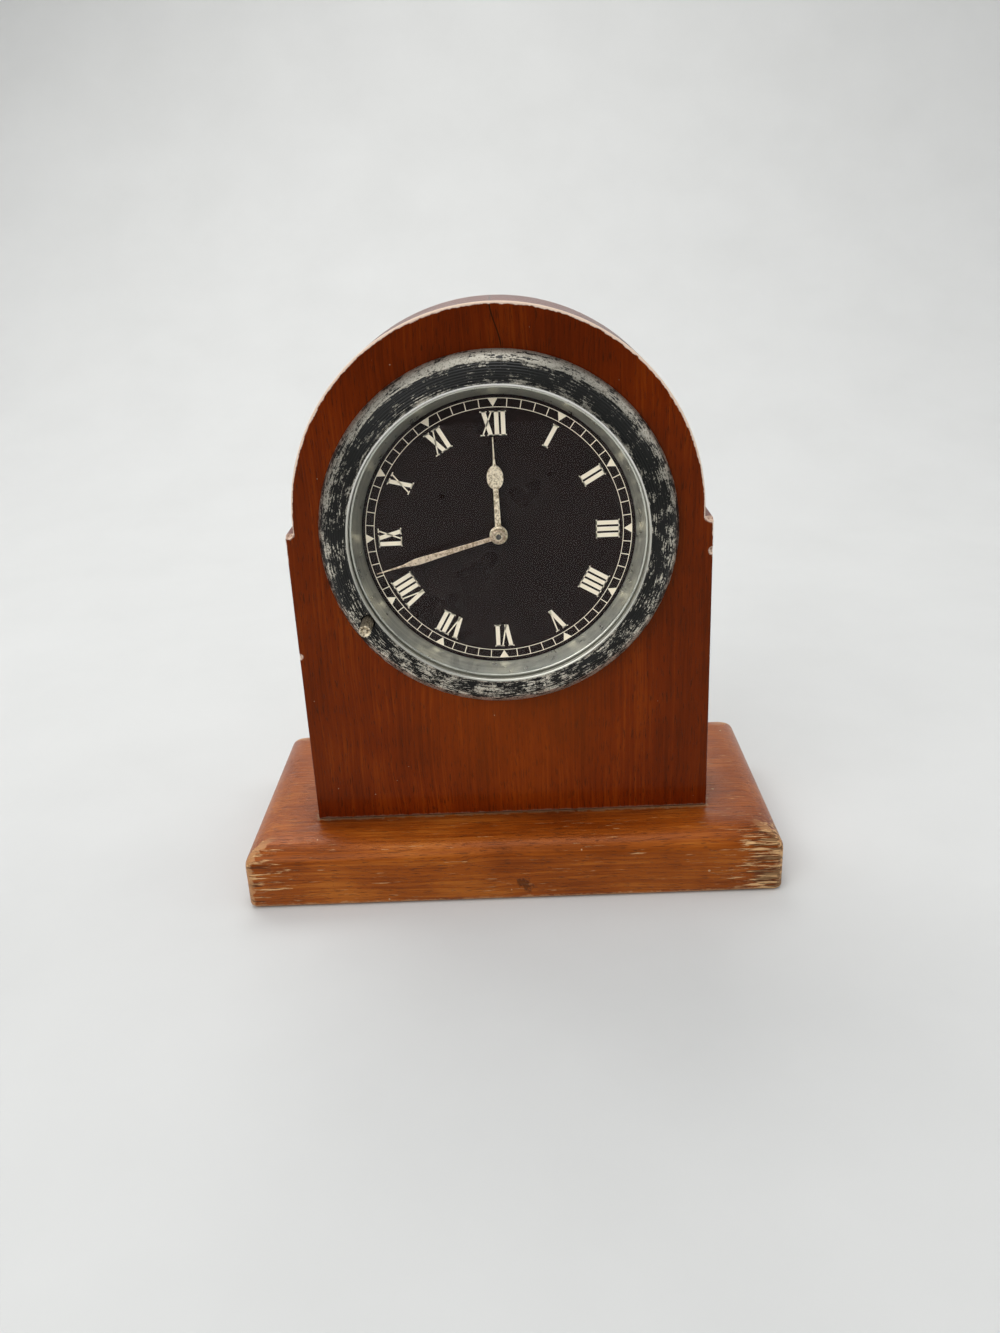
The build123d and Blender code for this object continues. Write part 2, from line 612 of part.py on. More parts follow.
def mainspring():
    """Mainspring, wound between the hub and the barrel's wall."""
    outer = BARREL_MODULE * (BARREL_TEETH / 2 - DEDENDUM) - 2 * BARREL_WALL - MAINSPRING_THICK - SEAT
    low, high = BARREL_Z + BARREL_FLOOR + FREE, BARREL_FRONT - BARREL_COVER - FREE
    inner = BARREL_HUB + FREE / 2
    strip = spiral(inner, outer, MAINSPRING_TURNS, MAINSPRING_THICK, low, high, BARREL_BEARING)
    return Pos(*BARREL_SPOT) * strip


def barrel_arbor():
    """Arbor of the barrel, with the spring's hub and a square for the ratchet wheel."""
    hub_low, hub_high = BARREL_Z + BARREL_FLOOR + RUN, BARREL_FRONT - BARREL_COVER - RUN
    shaft = disc(BARREL_ARBOR, BACK_FACE + FREE, RATCHET_Z, BARREL_SPOT)
    shaft += disc(BARREL_HUB, hub_low, hub_high, BARREL_SPOT)
    return shaft + Pos(*BARREL_SPOT, RATCHET_Z) * extrude(Rectangle(ARBOR_SQUARE, ARBOR_SQUARE), WHEEL_THICK)


def centre_arbor():
    """Centre arbor with the pinion driven by the barrel, reaching forward to the minute hand."""
    low, high = BARREL_Z - FREE, BARREL_Z + BARREL_FLOOR + FREE
    shaft = disc(CENTRE_ARBOR, BACK_FACE + FREE, MINUTE_HAND_Z + 2 * HAND_THICK)
    return shaft + Pos(0, 0, low) * extrude(leaved(CENTRE_LEAVES, BARREL_MODULE, 0), high - low)


def cannon_pinion():
    """Cannon pinion, a friction fit on the centre arbor, which carries the minute hand."""
    low = FRONT_FACE + WORKS_GAP
    pipe = disc(CANNON_PIPE, low, MINUTE_HAND_Z + HAND_THICK)
    leaves = Pos(0, 0, low) * extrude(leaved(CANNON_LEAVES, MOTION_MODULE, 0), 1.5 * WHEEL_THICK)
    return pipe + leaves - disc(CENTRE_ARBOR + SEAT, low - FREE, MINUTE_HAND_Z + 2 * HAND_THICK)


def minute_wheel():
    """Minute wheel and its pinion, on a fixed stud."""
    low = FRONT_FACE + FREE
    high = DIAL_BACK - FREE
    teeth = toothed(MINUTE_TEETH, MOTION_MODULE, MINUTE_TOOTH)
    leaves = leaved(MINUTE_LEAVES, MOTION_MODULE, MINUTE_TOOTH)
    blank = wheel(MINUTE_SPOT, teeth, low, WHEEL_THICK, STUD + RUN)
    return blank + wheel(MINUTE_SPOT, leaves, low, high - low, STUD + RUN)


def minute_stud():
    """Fixed stud of the minute wheel."""
    return disc(STUD, FRONT_INSIDE, DIAL_BACK - FREE, MINUTE_SPOT)


def hour_wheel():
    """Hour wheel on its pipe, free on the cannon pinion."""
    bore = CANNON_PIPE + RUN
    pipe = disc(bore + HOUR_PIPE_WALL, HOUR_WHEEL_Z, HOUR_HAND_Z + HAND_THICK, bore=bore)
    teeth = toothed(HOUR_TEETH, MOTION_MODULE, HOUR_TOOTH)
    return wheel(CENTRE_SPOT, teeth, HOUR_WHEEL_Z, WHEEL_THICK, bore) + pipe


def hour_hand():
    """Hour hand: slim stem, pear-shaped bulb and needle point."""
    half, waist = HOUR_BULB_LENGTH / 2, HOUR_BULB_WIDTH / 3
    stem_end = (HOUR_STEM / 2, HOUR_BULB - half)
    bulb_top = (waist, HOUR_BULB + waist)
    right = Polyline((0, 0), (HOUR_STEM / 2, 0), (HOUR_STEM_BELLY / 2, HOUR_BULB / 2), stem_end)
    right += ThreePointArc(stem_end, (HOUR_BULB_WIDTH / 2, HOUR_BULB - HOUR_BULB_WIDTH / 6), bulb_top)
    needle = [(HAND_POINT, HOUR_BULB + half), (HAND_POINT / 2, HOUR_LENGTH), (0, HOUR_LENGTH)]
    right += Polyline(bulb_top, *needle, (0, 0))
    return hand(make_face(right), HOUR_BOSS, CANNON_PIPE + RUN + HOUR_PIPE_WALL, HOUR_HAND_Z, HOUR_ANGLE)


def minute_hand():
    """Minute hand: slender lance, widest two thirds of the way out."""
    right = Polyline(
        (0, 0),
        (MINUTE_STEM / 2, 0),
        (MINUTE_BELLY / 2, MINUTE_BELLY_REACH),
        (MINUTE_NECK / 2, MINUTE_NECK_REACH),
        (HAND_POINT / 2, MINUTE_LENGTH),
        (0, MINUTE_LENGTH),
        close=True,
    )
    return hand(make_face(right), MINUTE_BOSS, CANNON_PIPE, MINUTE_HAND_Z, MINUTE_ANGLE)


def hand(right_half, boss, pipe, low, angle):
    """Hand cut from sheet: half outline mirrored, with a boss pressed on its pipe."""
    blade = right_half + mirror(right_half, Plane.YZ)
    piece = Pos(0, 0, low) * extrude(blade, HAND_THICK)
    piece += disc(boss, low - HAND_THICK / 2, low + 1.5 * HAND_THICK)
    return Rot(0, 0, -angle) * (piece - disc(pipe + SEAT, low - HAND_THICK, low + 2 * HAND_THICK))


def escape_wheel():
    """Escape wheel with pointed leaning teeth."""
    step = 360 / ESCAPE_TEETH
    corners = []
    for tooth in range(ESCAPE_TEETH):
        corners.append(polar(ESCAPE_RADIUS - ESCAPE_DEPTH, tooth * step))
        corners.append(polar(ESCAPE_RADIUS, (tooth + ESCAPE_TIP_SHARE) * step))
        corners.append(polar(ESCAPE_RADIUS - ESCAPE_DEPTH, (tooth + ESCAPE_BACK_SHARE) * step))
    face = make_face(Polyline(*corners, close=True)) - Circle(ARBOR + SEAT)
    return Pos(*ESCAPE_SPOT, ESCAPE_WHEEL_Z) * extrude(face, WHEEL_THICK)


def pallet_spots():
    """Places of the two pallet pins, just outside the escape wheel's teeth."""
    reach = ESCAPE_RADIUS + PALLET_PIN + PALLET_CLEAR
    return [polar(reach, LEVER_BEARING + side * PALLET_SPREAD, ESCAPE_SPOT) for side in (-1, 1)]


def pallet_lever():
    """Lever in front of the escape wheel: two pallet arms and a fork towards the balance."""
    low = ESCAPE_WHEEL_Z + WHEEL_THICK + FREE
    fork = BALANCE_DISTANCE - IMPULSE_REACH - IMPULSE_PIN - FREE
    fork_end = polar(fork, LEVER_BEARING, LEVER_SPOT)
    face = Pos(*LEVER_SPOT) * Circle(LEVER_WIDTH) + bar(LEVER_SPOT, fork_end, LEVER_WIDTH, 2 * LEVER_WIDTH)
    face -= bar(polar(fork - LEVER_WIDTH, LEVER_BEARING, LEVER_SPOT), fork_end, LEVER_WIDTH, LEVER_WIDTH)
    for spot in pallet_spots():
        end = Vector(*spot) + (Vector(*spot) - Vector(*LEVER_SPOT)).normalized() * LEVER_WIDTH / 2
        face += bar(LEVER_SPOT, (end.X, end.Y), LEVER_WIDTH, LEVER_WIDTH)
    face -= Pos(*LEVER_SPOT) * Circle(ARBOR + SEAT)
    return Pos(0, 0, low) * extrude(face, WHEEL_THICK)


def pallet_pins():
    """Two steel pallet pins on the back of the lever."""
    low, high = ESCAPE_WHEEL_Z, ESCAPE_WHEEL_Z + WHEEL_THICK + FREE
    return Part() + [disc(PALLET_PIN, low, high, spot) for spot in pallet_spots()]


def balance_wheel():
    """Plain balance with one bar."""
    face = Circle(BALANCE_RADIUS) - Circle(BALANCE_RADIUS - BALANCE_RIM)
    face += Rectangle(2 * BALANCE_RADIUS - BALANCE_RIM, BALANCE_BAR)
    face = face + Circle(3 * ARBOR) - Circle(ARBOR + SEAT)
    return Pos(*BALANCE_SPOT, THIRD_WHEEL_Z - WHEEL_THICK) * extrude(face, WHEEL_THICK)


def balance_staff():
    """Balance staff with the collet of the hairspring."""
    low = CENTRE_WHEEL_Z - WHEEL_THICK
    return arbor(BALANCE_SPOT) + disc(HAIRSPRING_INNER - FREE / 2, low, low + WHEEL_THICK, BALANCE_SPOT)


def impulse_roller():
    """Roller on the balance staff with the impulse pin that the fork drives."""
    low = ESCAPE_WHEEL_Z + 2 * WHEEL_THICK + 2 * FREE
    roller = disc(ROLLER_RADIUS, low, low + WHEEL_THICK, BALANCE_SPOT, ARBOR + SEAT)
    pin_spot = polar(IMPULSE_REACH, LEVER_BEARING + 180, BALANCE_SPOT)
    return roller + disc(IMPULSE_PIN, low - WHEEL_THICK, low, pin_spot)


def hairspring():
    """Hairspring, wound outwards from the collet to its stud."""
    low = CENTRE_WHEEL_Z - WHEEL_THICK
    ends = (HAIRSPRING_INNER, HAIRSPRING_OUTER)
    strip = spiral(*ends, HAIRSPRING_TURNS, HAIRSPRING_THICK, low, low + WHEEL_THICK, LEVER_BEARING)
    return Pos(*BALANCE_SPOT) * strip


def hairspring_stud():
    """Stud on the front plate that holds the hairspring's outer end."""
    reach = HAIRSPRING_OUTER + HAIRSPRING_THICK + STUD + RUN
    return disc(STUD, CENTRE_WHEEL_Z - WHEEL_THICK, FRONT_INSIDE, polar(reach, LEVER_BEARING, BALANCE_SPOT))


def train_wheel(spot, teeth, module, bearing, low, shaft=ARBOR):
    """Wheel of the going train, riveted to its arbor."""
    return wheel(spot, toothed(teeth, module, bearing), low, WHEEL_THICK, shaft + SEAT)


def train_arbor(spot, leaves, module, bearing, wheel_z):
    """Arbor whose pinion meshes with the wheel at a height."""
    return arbor(spot, leaves, module, bearing, wheel_z - WHEEL_THICK / 2, wheel_z + 1.5 * WHEEL_THICK)


case_pieces = {"base_plinth": base_plinth(), "case_body": case_body(), "base_screws": base_screws()}
clock_pieces = {
    "drum_case": drum_case(),
    "flange_screws": flange_screws(),
    "back_cap": back_cap(),
    "movement_screws": movement_screws(),
    "rim": rim(),
    "glass": glass(),
    "sight_ring": sight_ring(),
    "winding_ring": winding_ring(),
    "setting_plunger": setting_plunger(),
    "dial": dial(),
    "hour_hand": hour_hand(),
    "minute_hand": minute_hand(),
    "front_plate": front_plate(),
    "back_plate": back_plate(),
    "pillars": pillars(),
    "winding_pinion": winding_pinion(),
    "winding_stud": winding_stud(),
    "ratchet_wheel": ratchet_wheel(),
    "click": click(),
    "click_screw": click_screw(),
    "barrel_drum": barrel_drum(),
    "barrel_cover": barrel_cover(),
    "mainspring": mainspring(),
    "barrel_arbor": barrel_arbor(),
    "centre_wheel": train_wheel(CENTRE_SPOT, CENTRE_TEETH, CENTRE_MODULE, 0, CENTRE_WHEEL_Z, CENTRE_ARBOR),
    "centre_arbor": centre_arbor(),
    "cannon_pinion": cannon_pinion(),
    "minute_wheel": minute_wheel(),
    "minute_stud": minute_stud(),
    "hour_wheel": hour_wheel(),
    "third_wheel": train_wheel(THIRD_SPOT, THIRD_TEETH, THIRD_MODULE, THIRD_TOOTH, THIRD_WHEEL_Z),
    "third_arbor": train_arbor(THIRD_SPOT, THIRD_LEAVES, CENTRE_MODULE, THIRD_TOOTH, CENTRE_WHEEL_Z),
    "fourth_wheel": train_wheel(FOURTH_SPOT, FOURTH_TEETH, FOURTH_MODULE, FOURTH_TOOTH, FOURTH_WHEEL_Z),
    "fourth_arbor": train_arbor(FOURTH_SPOT, FOURTH_LEAVES, THIRD_MODULE, FOURTH_TOOTH, THIRD_WHEEL_Z),
    "escape_wheel": escape_wheel(),
    "escape_arbor": train_arbor(ESCAPE_SPOT, ESCAPE_LEAVES, FOURTH_MODULE, ESCAPE_TOOTH, FOURTH_WHEEL_Z),
    "pallet_lever": pallet_lever(),
    "pallet_pins": pallet_pins(),
    "lever_arbor": arbor(LEVER_SPOT),
    "balance_wheel": balance_wheel(),
    "balance_staff": balance_staff(),
    "impulse_roller": impulse_roller(),
    "hairspring": hairspring(),
    "hairspring_stud": hairspring_stud(),
}

os.makedirs("parts", exist_ok=True)
for name, piece in case_pieces.items():
    export_step(piece, f"parts/{name}.step")
for name, piece in clock_pieces.items():
    export_step(FACE * piece, f"parts/{name}.step")

axes = {
    "clock": CENTRE_SPOT,
    "barrel": BARREL_SPOT,
    "winding": WINDING_SPOT,
    "click": CLICK_SPOT,
    "minute_wheel": MINUTE_SPOT,
    "third": THIRD_SPOT,
    "fourth": FOURTH_SPOT,
    "escape": ESCAPE_SPOT,
    "lever": LEVER_SPOT,
    "balance": BALANCE_SPOT,
}
for name, spot in axes.items():
    x, y, z = (FACE * Pos(*spot)).position
    print(f"axis {name} {x:.5f} {y:.5f} {z:.5f}")
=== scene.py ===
# %% [markdown]
# # A round-arched shelf clock
# The real clock is a mahogany block with a round top, bored through for a drum clock and screwed to a wide
# plinth. The CAD frame already has every piece at its true place, so this lesson only gives the clock its
# looks: softer edges, turned ridges, printed figures, old polish and worn lacquer. Loading the frame first
# means that nothing here has to be fitted by eye.

import json
from functools import partial
from math import atan2, cos, exp, pi, radians, sin

import bmesh
import bpy
from mathutils import Matrix, Vector


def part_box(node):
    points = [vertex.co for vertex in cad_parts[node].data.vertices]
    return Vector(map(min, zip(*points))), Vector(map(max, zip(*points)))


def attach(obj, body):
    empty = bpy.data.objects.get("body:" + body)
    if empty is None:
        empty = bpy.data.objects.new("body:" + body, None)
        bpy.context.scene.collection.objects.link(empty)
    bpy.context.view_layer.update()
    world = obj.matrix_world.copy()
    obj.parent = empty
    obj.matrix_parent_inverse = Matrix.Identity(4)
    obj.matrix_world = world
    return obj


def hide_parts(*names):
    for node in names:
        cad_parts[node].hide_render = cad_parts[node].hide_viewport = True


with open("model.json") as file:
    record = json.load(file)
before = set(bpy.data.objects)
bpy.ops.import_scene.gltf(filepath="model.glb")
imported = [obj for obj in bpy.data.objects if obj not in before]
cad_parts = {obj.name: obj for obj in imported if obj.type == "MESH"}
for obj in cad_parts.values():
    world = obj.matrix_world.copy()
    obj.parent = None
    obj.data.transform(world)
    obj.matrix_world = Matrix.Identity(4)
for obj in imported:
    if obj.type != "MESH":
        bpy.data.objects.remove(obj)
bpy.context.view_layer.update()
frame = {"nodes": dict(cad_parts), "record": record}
print("CAD nodes:", len(frame["nodes"]))

# %% [markdown]
# ## Measures
# A clockmaker measures everything on a dial from its centre. The same is done here: a point is a radius, a
# height in front of the wood and a bearing. The driving sizes are read from the frame's boxes, so the looks
# follow the CAD.

# %% Measures from the frame
MM = 0.001
base_low, base_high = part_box("base_plinth")
body_low, body_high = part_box("case_body")
rim_low, rim_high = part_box("rim")
WOOD_FRONT = body_low.y
WOOD_BACK = body_high.y
DIAL_Z = (rim_low.z + rim_high.z) / 2
AXIS = Vector((0, WOOD_FRONT, DIAL_Z))
RIM = (rim_high.x - rim_low.x) / 2
RIM_FRONT = WOOD_FRONT - rim_low.y


def spot(radius, height, bearing=0.0):
    """Place on the clock: radius, height in front of the wood, bearing in degrees from the right."""
    turn = radians(bearing)
    return Vector((radius * cos(turn), WOOD_FRONT - height, DIAL_Z + radius * sin(turn)))


print("rim radius in mm:", round(RIM / MM, 2), "dial height in mm:", round(DIAL_Z / MM, 2))

# %% [markdown]
# ## Camera
# The picture was taken from a little above with a wide lens, slightly rolled. The camera stands in the same
# place, and it comes before any modelling.

# %% Camera
FOCAL_PIXELS = 1100.0
IMAGE_HEIGHT = 1333.0
CAMERA_PLACE = Vector((4.8, -274.0, 160.0)) * MM
PITCH, YAW, ROLL = radians(21.85), radians(1.365), radians(2.8)

bpy.ops.object.camera_add(location=CAMERA_PLACE)
camera = bpy.context.object
camera.data.lens = FOCAL_PIXELS / IMAGE_HEIGHT * camera.data.sensor_width
camera.data.clip_start = 10 * MM
facing = Matrix.Rotation(YAW, 4, "Z") @ Matrix.Rotation(pi / 2 - PITCH, 4, "X")
camera.matrix_world = Matrix.Translation(CAMERA_PLACE) @ facing @ Matrix.Rotation(-ROLL, 4, "Z")
bpy.context.scene.camera = camera
print("lens in mm:", round(camera.data.lens, 2))

# %% [markdown]
# ## Stage and light
# A sweep of pale paper runs from under the clock up behind it, so there is no hard horizon. Four broad soft
# lamps and a grey sky light it at a plain level. Broad lamps matter here because polish and lacquer show
# their shape.

# %% Stage and light
FLOOR_SIZE = 1.5
SWEEP_PLACE = 0.75
SWEEP_ROUND = 0.5


def named(name):
    """The piece that was just made, under a name."""
    piece = bpy.context.object
    piece.name = piece.data.name = name
    return piece


def mode(name):
    """Change to edit mode or object mode."""
    bpy.ops.object.mode_set(mode=name)


def pick(piece, kind, test):
    """Select, in edit mode, the vertices, edges or faces that pass a test."""
    bpy.ops.mesh.select_mode(type=kind)
    bpy.ops.mesh.select_all(action="DESELECT")
    sheet = bmesh.from_edit_mesh(piece.data)
    for element in {"VERT": sheet.verts, "EDGE": sheet.edges, "FACE": sheet.faces}[kind]:
        element.select = test(element)
    sheet.select_flush_mode()
    bmesh.update_edit_mesh(piece.data)


def extrude(travel):
    """Extrude what is selected."""
    bpy.ops.mesh.extrude_region_move(TRANSFORM_OT_translate={"value": travel})


bpy.ops.mesh.primitive_plane_add(size=FLOOR_SIZE, location=(0, SWEEP_PLACE - FLOOR_SIZE / 2, 0))
floor = named("paper_sweep")
bpy.ops.object.transform_apply(location=True, rotation=True, scale=True)
mode("EDIT")
pick(floor, "VERT", lambda vertex: vertex.co.y > SWEEP_PLACE - MM)
extrude((0, 0, FLOOR_SIZE))
pick(floor, "VERT", lambda vertex: vertex.co.y > SWEEP_PLACE - MM and vertex.co.z < MM)
bpy.ops.mesh.bevel(offset=SWEEP_ROUND, segments=16, affect="EDGES")
mode("OBJECT")
bpy.ops.object.shade_smooth()

lamps = {
    "back_lamp": ((-0.20, 0.45, 0.68), (0.7, 0.35), 2.8),
    "front_lamp": ((-0.55, -0.80, 0.75), (0.8, 0.8), 5.2),
    "right_lamp": ((0.85, 0.10, 0.60), (0.6, 0.6), 1.4),
    "top_lamp": ((0.0, -0.10, 1.0), (0.5, 0.5), 2.4),
}
for name, (place, size, power) in lamps.items():
    bpy.ops.object.light_add(type="AREA", location=place)
    lamp = bpy.context.object
    lamp.name = name
    lamp.data.shape = "RECTANGLE"
    lamp.data.size, lamp.data.size_y = size
    lamp.data.energy = power
    lamp.rotation_euler = (AXIS - Vector(place)).to_track_quat("-Z", "Y").to_euler()

bpy.context.scene.view_settings.view_transform = "Standard"
print("lamps:", len(lamps))

# %% [markdown]
# ## Working with shader nodes
# Every finish below is a small node tree. These helpers only shorten the writing. A socket knows which tree
# it is in, so a new node goes where its first joined socket is. The rest do arithmetic, mix colours, ease a
# value between two limits, measure distances and make noise.

# %% Node helpers
def fill(node, sockets):
    """Join or set a node's inputs, by name or number."""
    for name, value in sockets.items():
        if isinstance(value, bpy.types.NodeSocket):
            node.id_data.links.new(value, node.inputs[name])
        else:
            node.inputs[name].default_value = value


def add_node(kind, sockets, **settings):
    """Add a node to the tree of its first joined socket, set it and fill its inputs."""
    joins = [value for value in sockets.values() if isinstance(value, bpy.types.NodeSocket)]
    made = joins[0].id_data.nodes.new(kind)
    for name, value in settings.items():
        setattr(made, name, value)
    fill(made, sockets)
    return made


def calc(operation, *values):
    """Result of a sum of the given values or sockets."""
    return add_node("ShaderNodeMath", dict(enumerate(values)), operation=operation).outputs[0]


times, plus, minus, over = (partial(calc, name) for name in ("MULTIPLY", "ADD", "SUBTRACT", "DIVIDE"))
larger, smaller, unsigned = (partial(calc, name) for name in ("MAXIMUM", "MINIMUM", "ABSOLUTE"))
times_plus = partial(calc, "MULTIPLY_ADD")


def slope(first, second):
    """Length of the slope over two sides."""
    return calc("SQRT", plus(calc("POWER", first, 2.0), calc("POWER", second, 2.0)))


def mixed(share, first, second):
    """Colour between two colours."""
    return add_node("ShaderNodeMix", {0: share, 6: first, 7: second}, data_type="RGBA").outputs[2]


def layered(colour, *layers):
    """Colour under several layers, each with its share and its tint."""
    for share, tint in layers:
        colour = mixed(share, colour, tint)
    return colour


def eased(value, start, end, low=0.0, high=1.0):
    """Value eased from low to high while the input goes from start to end."""
    sockets = {"Value": value, "From Min": start, "From Max": end, "To Min": low, "To Max": high}
    return add_node("ShaderNodeMapRange", sockets, interpolation_type="SMOOTHSTEP").outputs[0]


def noise(place, per_mm, detail=3.0, roughness=0.55):
    """Smooth noise around one half, with cycles per millimetre along each axis or along all alike."""
    cycles = per_mm if isinstance(per_mm, tuple) else (per_mm,) * 3
    scale = tuple(count / MM for count in cycles)
    scaled = add_node("ShaderNodeVectorMath", {0: place, 1: scale}, operation="MULTIPLY").outputs[0]
    sockets = {"Vector": scaled, "Scale": 1.0, "Detail": detail, "Roughness": roughness}
    return add_node("ShaderNodeTexNoise", sockets).outputs[0]


def axes_of(place):
    """The x, y and z of a place."""
    return add_node("ShaderNodeSeparateXYZ", {0: place}).outputs


def distance_to(place, centre):
    """How far a place is from a fixed point."""
    return add_node("ShaderNodeVectorMath", {0: place, 1: centre}, operation="DISTANCE").outputs["Value"]


def new_group(name, inputs, outputs):
    """Empty shader node group, the sockets that it is given and its output node."""
    group = bpy.data.node_groups.new(name, "ShaderNodeTree")
    for direction, sockets in (("INPUT", inputs), ("OUTPUT", outputs)):
        for label, kind in sockets.items():
            group.interface.new_socket(label, in_out=direction, socket_type=kind)
    return group, group.nodes.new("NodeGroupInput").outputs, group.nodes.new("NodeGroupOutput")


def use_group(group, sockets):
    """Outputs of a group that is placed in the tree of its joined sockets."""
    return add_node("ShaderNodeGroup", sockets, node_tree=group).outputs


def new_finish(name):
    """Material, its shader and the object's own coordinates."""
    material = bpy.data.materials.new(name)
    material.use_nodes = True
    nodes = material.node_tree.nodes
    return material, nodes["Principled BSDF"], nodes.new("ShaderNodeTexCoord").outputs["Object"]


def bumped(shader, height, depth):
    """Join relief of a given depth to the shader's normal."""
    relief = add_node("ShaderNodeBump", {"Height": height, "Distance": depth, "Strength": 1.0})
    fill(shader, {"Normal": relief.outputs[0]})


VALUE, COLOUR, PLACE = "NodeSocketFloat", "NodeSocketColor", "NodeSocketVector"

# %% [markdown]
# ## Sky
# A studio is bright overhead and dim at eye level. Polish, lacquer and glass show that difference, and a dial
# behind glass only looks black when what it mirrors is dim, so the sky is a gradient by height instead of an
# even grey.

# %% Sky
DIM_SKY, BRIGHT_SKY = (0.13, 0.13, 0.13, 1), (0.56, 0.58, 0.60, 1)

world = bpy.data.worlds.new("studio_sky")
world.use_nodes = True
sky = world.node_tree.nodes
upward = axes_of(sky.new("ShaderNodeTexCoord").outputs["Generated"])[2]
fill(sky["Background"], {"Color": mixed(eased(upward, -0.1, 0.8), DIM_SKY, BRIGHT_SKY)})
bpy.context.scene.world = world
print("sky:", world.name)

# %% [markdown]
# ## Shared effects
# Four effects come back on several pieces, so each is one group. Wood grain is long thin streaks over broad
# changes of tone, with dark pores. A worn edge is a ragged band along an arris. Specks are the dust of many
# years. Turned marks are the rings and flecks that a lathe and a hand leave round an axis.

# %% Wood grain
GRAIN_SWAY = 4 * MM

grain_group, given, result = new_group(
    "wood_grain",
    {"Vector": PLACE, "Dark": COLOUR, "Middle": COLOUR, "Light": COLOUR},
    {"Color": COLOUR, "Pores": VALUE, "Tone": VALUE},
)
drift = noise(given["Vector"], (0.05, 0.05, 0.02), 2.0)
sway = add_node("ShaderNodeCombineXYZ", {0: times(drift, GRAIN_SWAY)}).outputs[0]
swayed = add_node("ShaderNodeVectorMath", {0: given["Vector"], 1: sway}, operation="ADD").outputs[0]
streaks = noise(swayed, (0.7, 0.7, 0.014), 3.0, 0.6)
threads = noise(swayed, (1.9, 1.9, 0.035), 4.0, 0.65)
clouds = noise(swayed, (0.05, 0.05, 0.035), 3.0)
tone = times(streaks, 0.15)
tone = times_plus(threads, 0.42, tone)
tone = times_plus(clouds, 0.43, tone)
tone = eased(tone, 0.34, 0.66)
lower = mixed(eased(tone, 0.0, 0.55), given["Dark"], given["Middle"])
wood_colour = mixed(eased(tone, 0.5, 1.0), lower, given["Light"])
pores = eased(noise(swayed, (3.8, 3.8, 0.30), 2.0), 0.58, 0.67)
fill(result, {"Color": wood_colour, "Pores": pores, "Tone": tone})

# %% Worn edge
wear_group, given, result = new_group(
    "worn_edge", {"Vector": PLACE, "Distance": VALUE, "Width": VALUE, "Ragged": VALUE}, {"Mask": VALUE}
)
tatter = minus(noise(given["Vector"], 0.55, 5.0, 0.65), 0.5)
tatter = times(tatter, 4.0)
reach = over(given["Distance"], given["Width"])
reach = times_plus(tatter, given["Ragged"], reach)
fill(result, {"Mask": eased(reach, 1.0, 0.6)})


def worn_band(place, distance, width, ragged):
    """Mask of a ragged band of wear, as wide as given from where the distance is nought."""
    sockets = {"Vector": place, "Distance": distance, "Width": width, "Ragged": ragged}
    return use_group(wear_group, sockets)["Mask"]


# %% Specks
SPECK_EDGE = 0.03 * MM

speck_group, given, result = new_group(
    "specks", {"Vector": PLACE, "Size": VALUE, "Spacing": VALUE}, {"Mask": VALUE}
)
spacing = over(1.0, given["Spacing"])
cells = add_node("ShaderNodeTexVoronoi", {"Vector": given["Vector"], "Scale": spacing}).outputs
chance = add_node("ShaderNodeSeparateColor", {0: cells["Color"]}).outputs[0]
radius = times(calc("POWER", chance, 4.0), given["Size"])
inside = minus(radius, times(cells["Distance"], given["Spacing"]))
fill(result, {"Mask": eased(inside, 0.0, SPECK_EDGE)})


def speckled(place, size, spacing):
    """Mask of specks of up to a size, one in each cell of the spacing."""
    return use_group(speck_group, {"Vector": place, "Size": size, "Spacing": spacing})["Mask"]


# %% Turned marks
LAP = 40 * MM

turning_group, given, result = new_group(
    "turned_marks",
    {"Vector": PLACE, "Centre Z": VALUE},
    {"Radius": VALUE, "Rings": VALUE, "Streaks": VALUE, "Flecks": VALUE, "Up": VALUE},
)
axes = axes_of(given["Vector"])
rise = minus(axes[2], given["Centre Z"])
radius = slope(axes[0], rise)
upward = over(rise, radius)
lap_x = times(over(axes[0], radius), LAP)
lap_z = times(upward, LAP)
lap = add_node("ShaderNodeCombineXYZ", {0: lap_x, 1: lap_z, 2: radius}).outputs[0]
fill(result, {
    "Radius": radius,
    "Rings": noise(lap, (0.012, 0.012, 4.2), 3.0, 0.6),
    "Streaks": noise(lap, (0.32, 0.32, 3.4), 4.0, 0.68),
    "Flecks": noise(lap, (1.5, 1.5, 2.2), 4.0, 0.72),
    "Up": upward,
})


def turned_marks(place):
    """Marks of turning round the clock's axis."""
    return use_group(turning_group, {"Vector": place, "Centre Z": DIAL_Z})


print("shared effects:", [group.name for group in bpy.data.node_groups])

# %% [markdown]
# ## Polished mahogany of the case
# The case has a red-brown polish over upright grain. Years of handling have rubbed the arrises down to bare
# pale wood, most of all round the arch and where the shoulders are chipped. How far a point lies from the
# outline can be worked out from its own place, so the worn band follows the arris exactly, with no painting
# by hand.

# %% Case wood
SHOULDER_STEP = 2.0 * MM
SHOULDER_DROP = 2.0 * MM
HALF_BODY = body_high.x
ARCH = HALF_BODY - SHOULDER_STEP
ARCH_TOP = body_high.z
ARCH_Z = ARCH_TOP - ARCH
SHOULDER_Z = ARCH_Z - SHOULDER_DROP
CHIPS = (
    (Vector((-HALF_BODY + 0.7 * MM, WOOD_FRONT + 0.4 * MM, SHOULDER_Z + 0.2 * MM)), 1.25 * MM),
    (Vector((HALF_BODY - 0.7 * MM, WOOD_FRONT + 0.4 * MM, SHOULDER_Z + 0.2 * MM)), 1.25 * MM),
    (Vector((-HALF_BODY, WOOD_FRONT, SHOULDER_Z - 31 * MM)), 0.8 * MM),
    (Vector((HALF_BODY, WOOD_FRONT, SHOULDER_Z - 8 * MM)), 0.9 * MM),
)
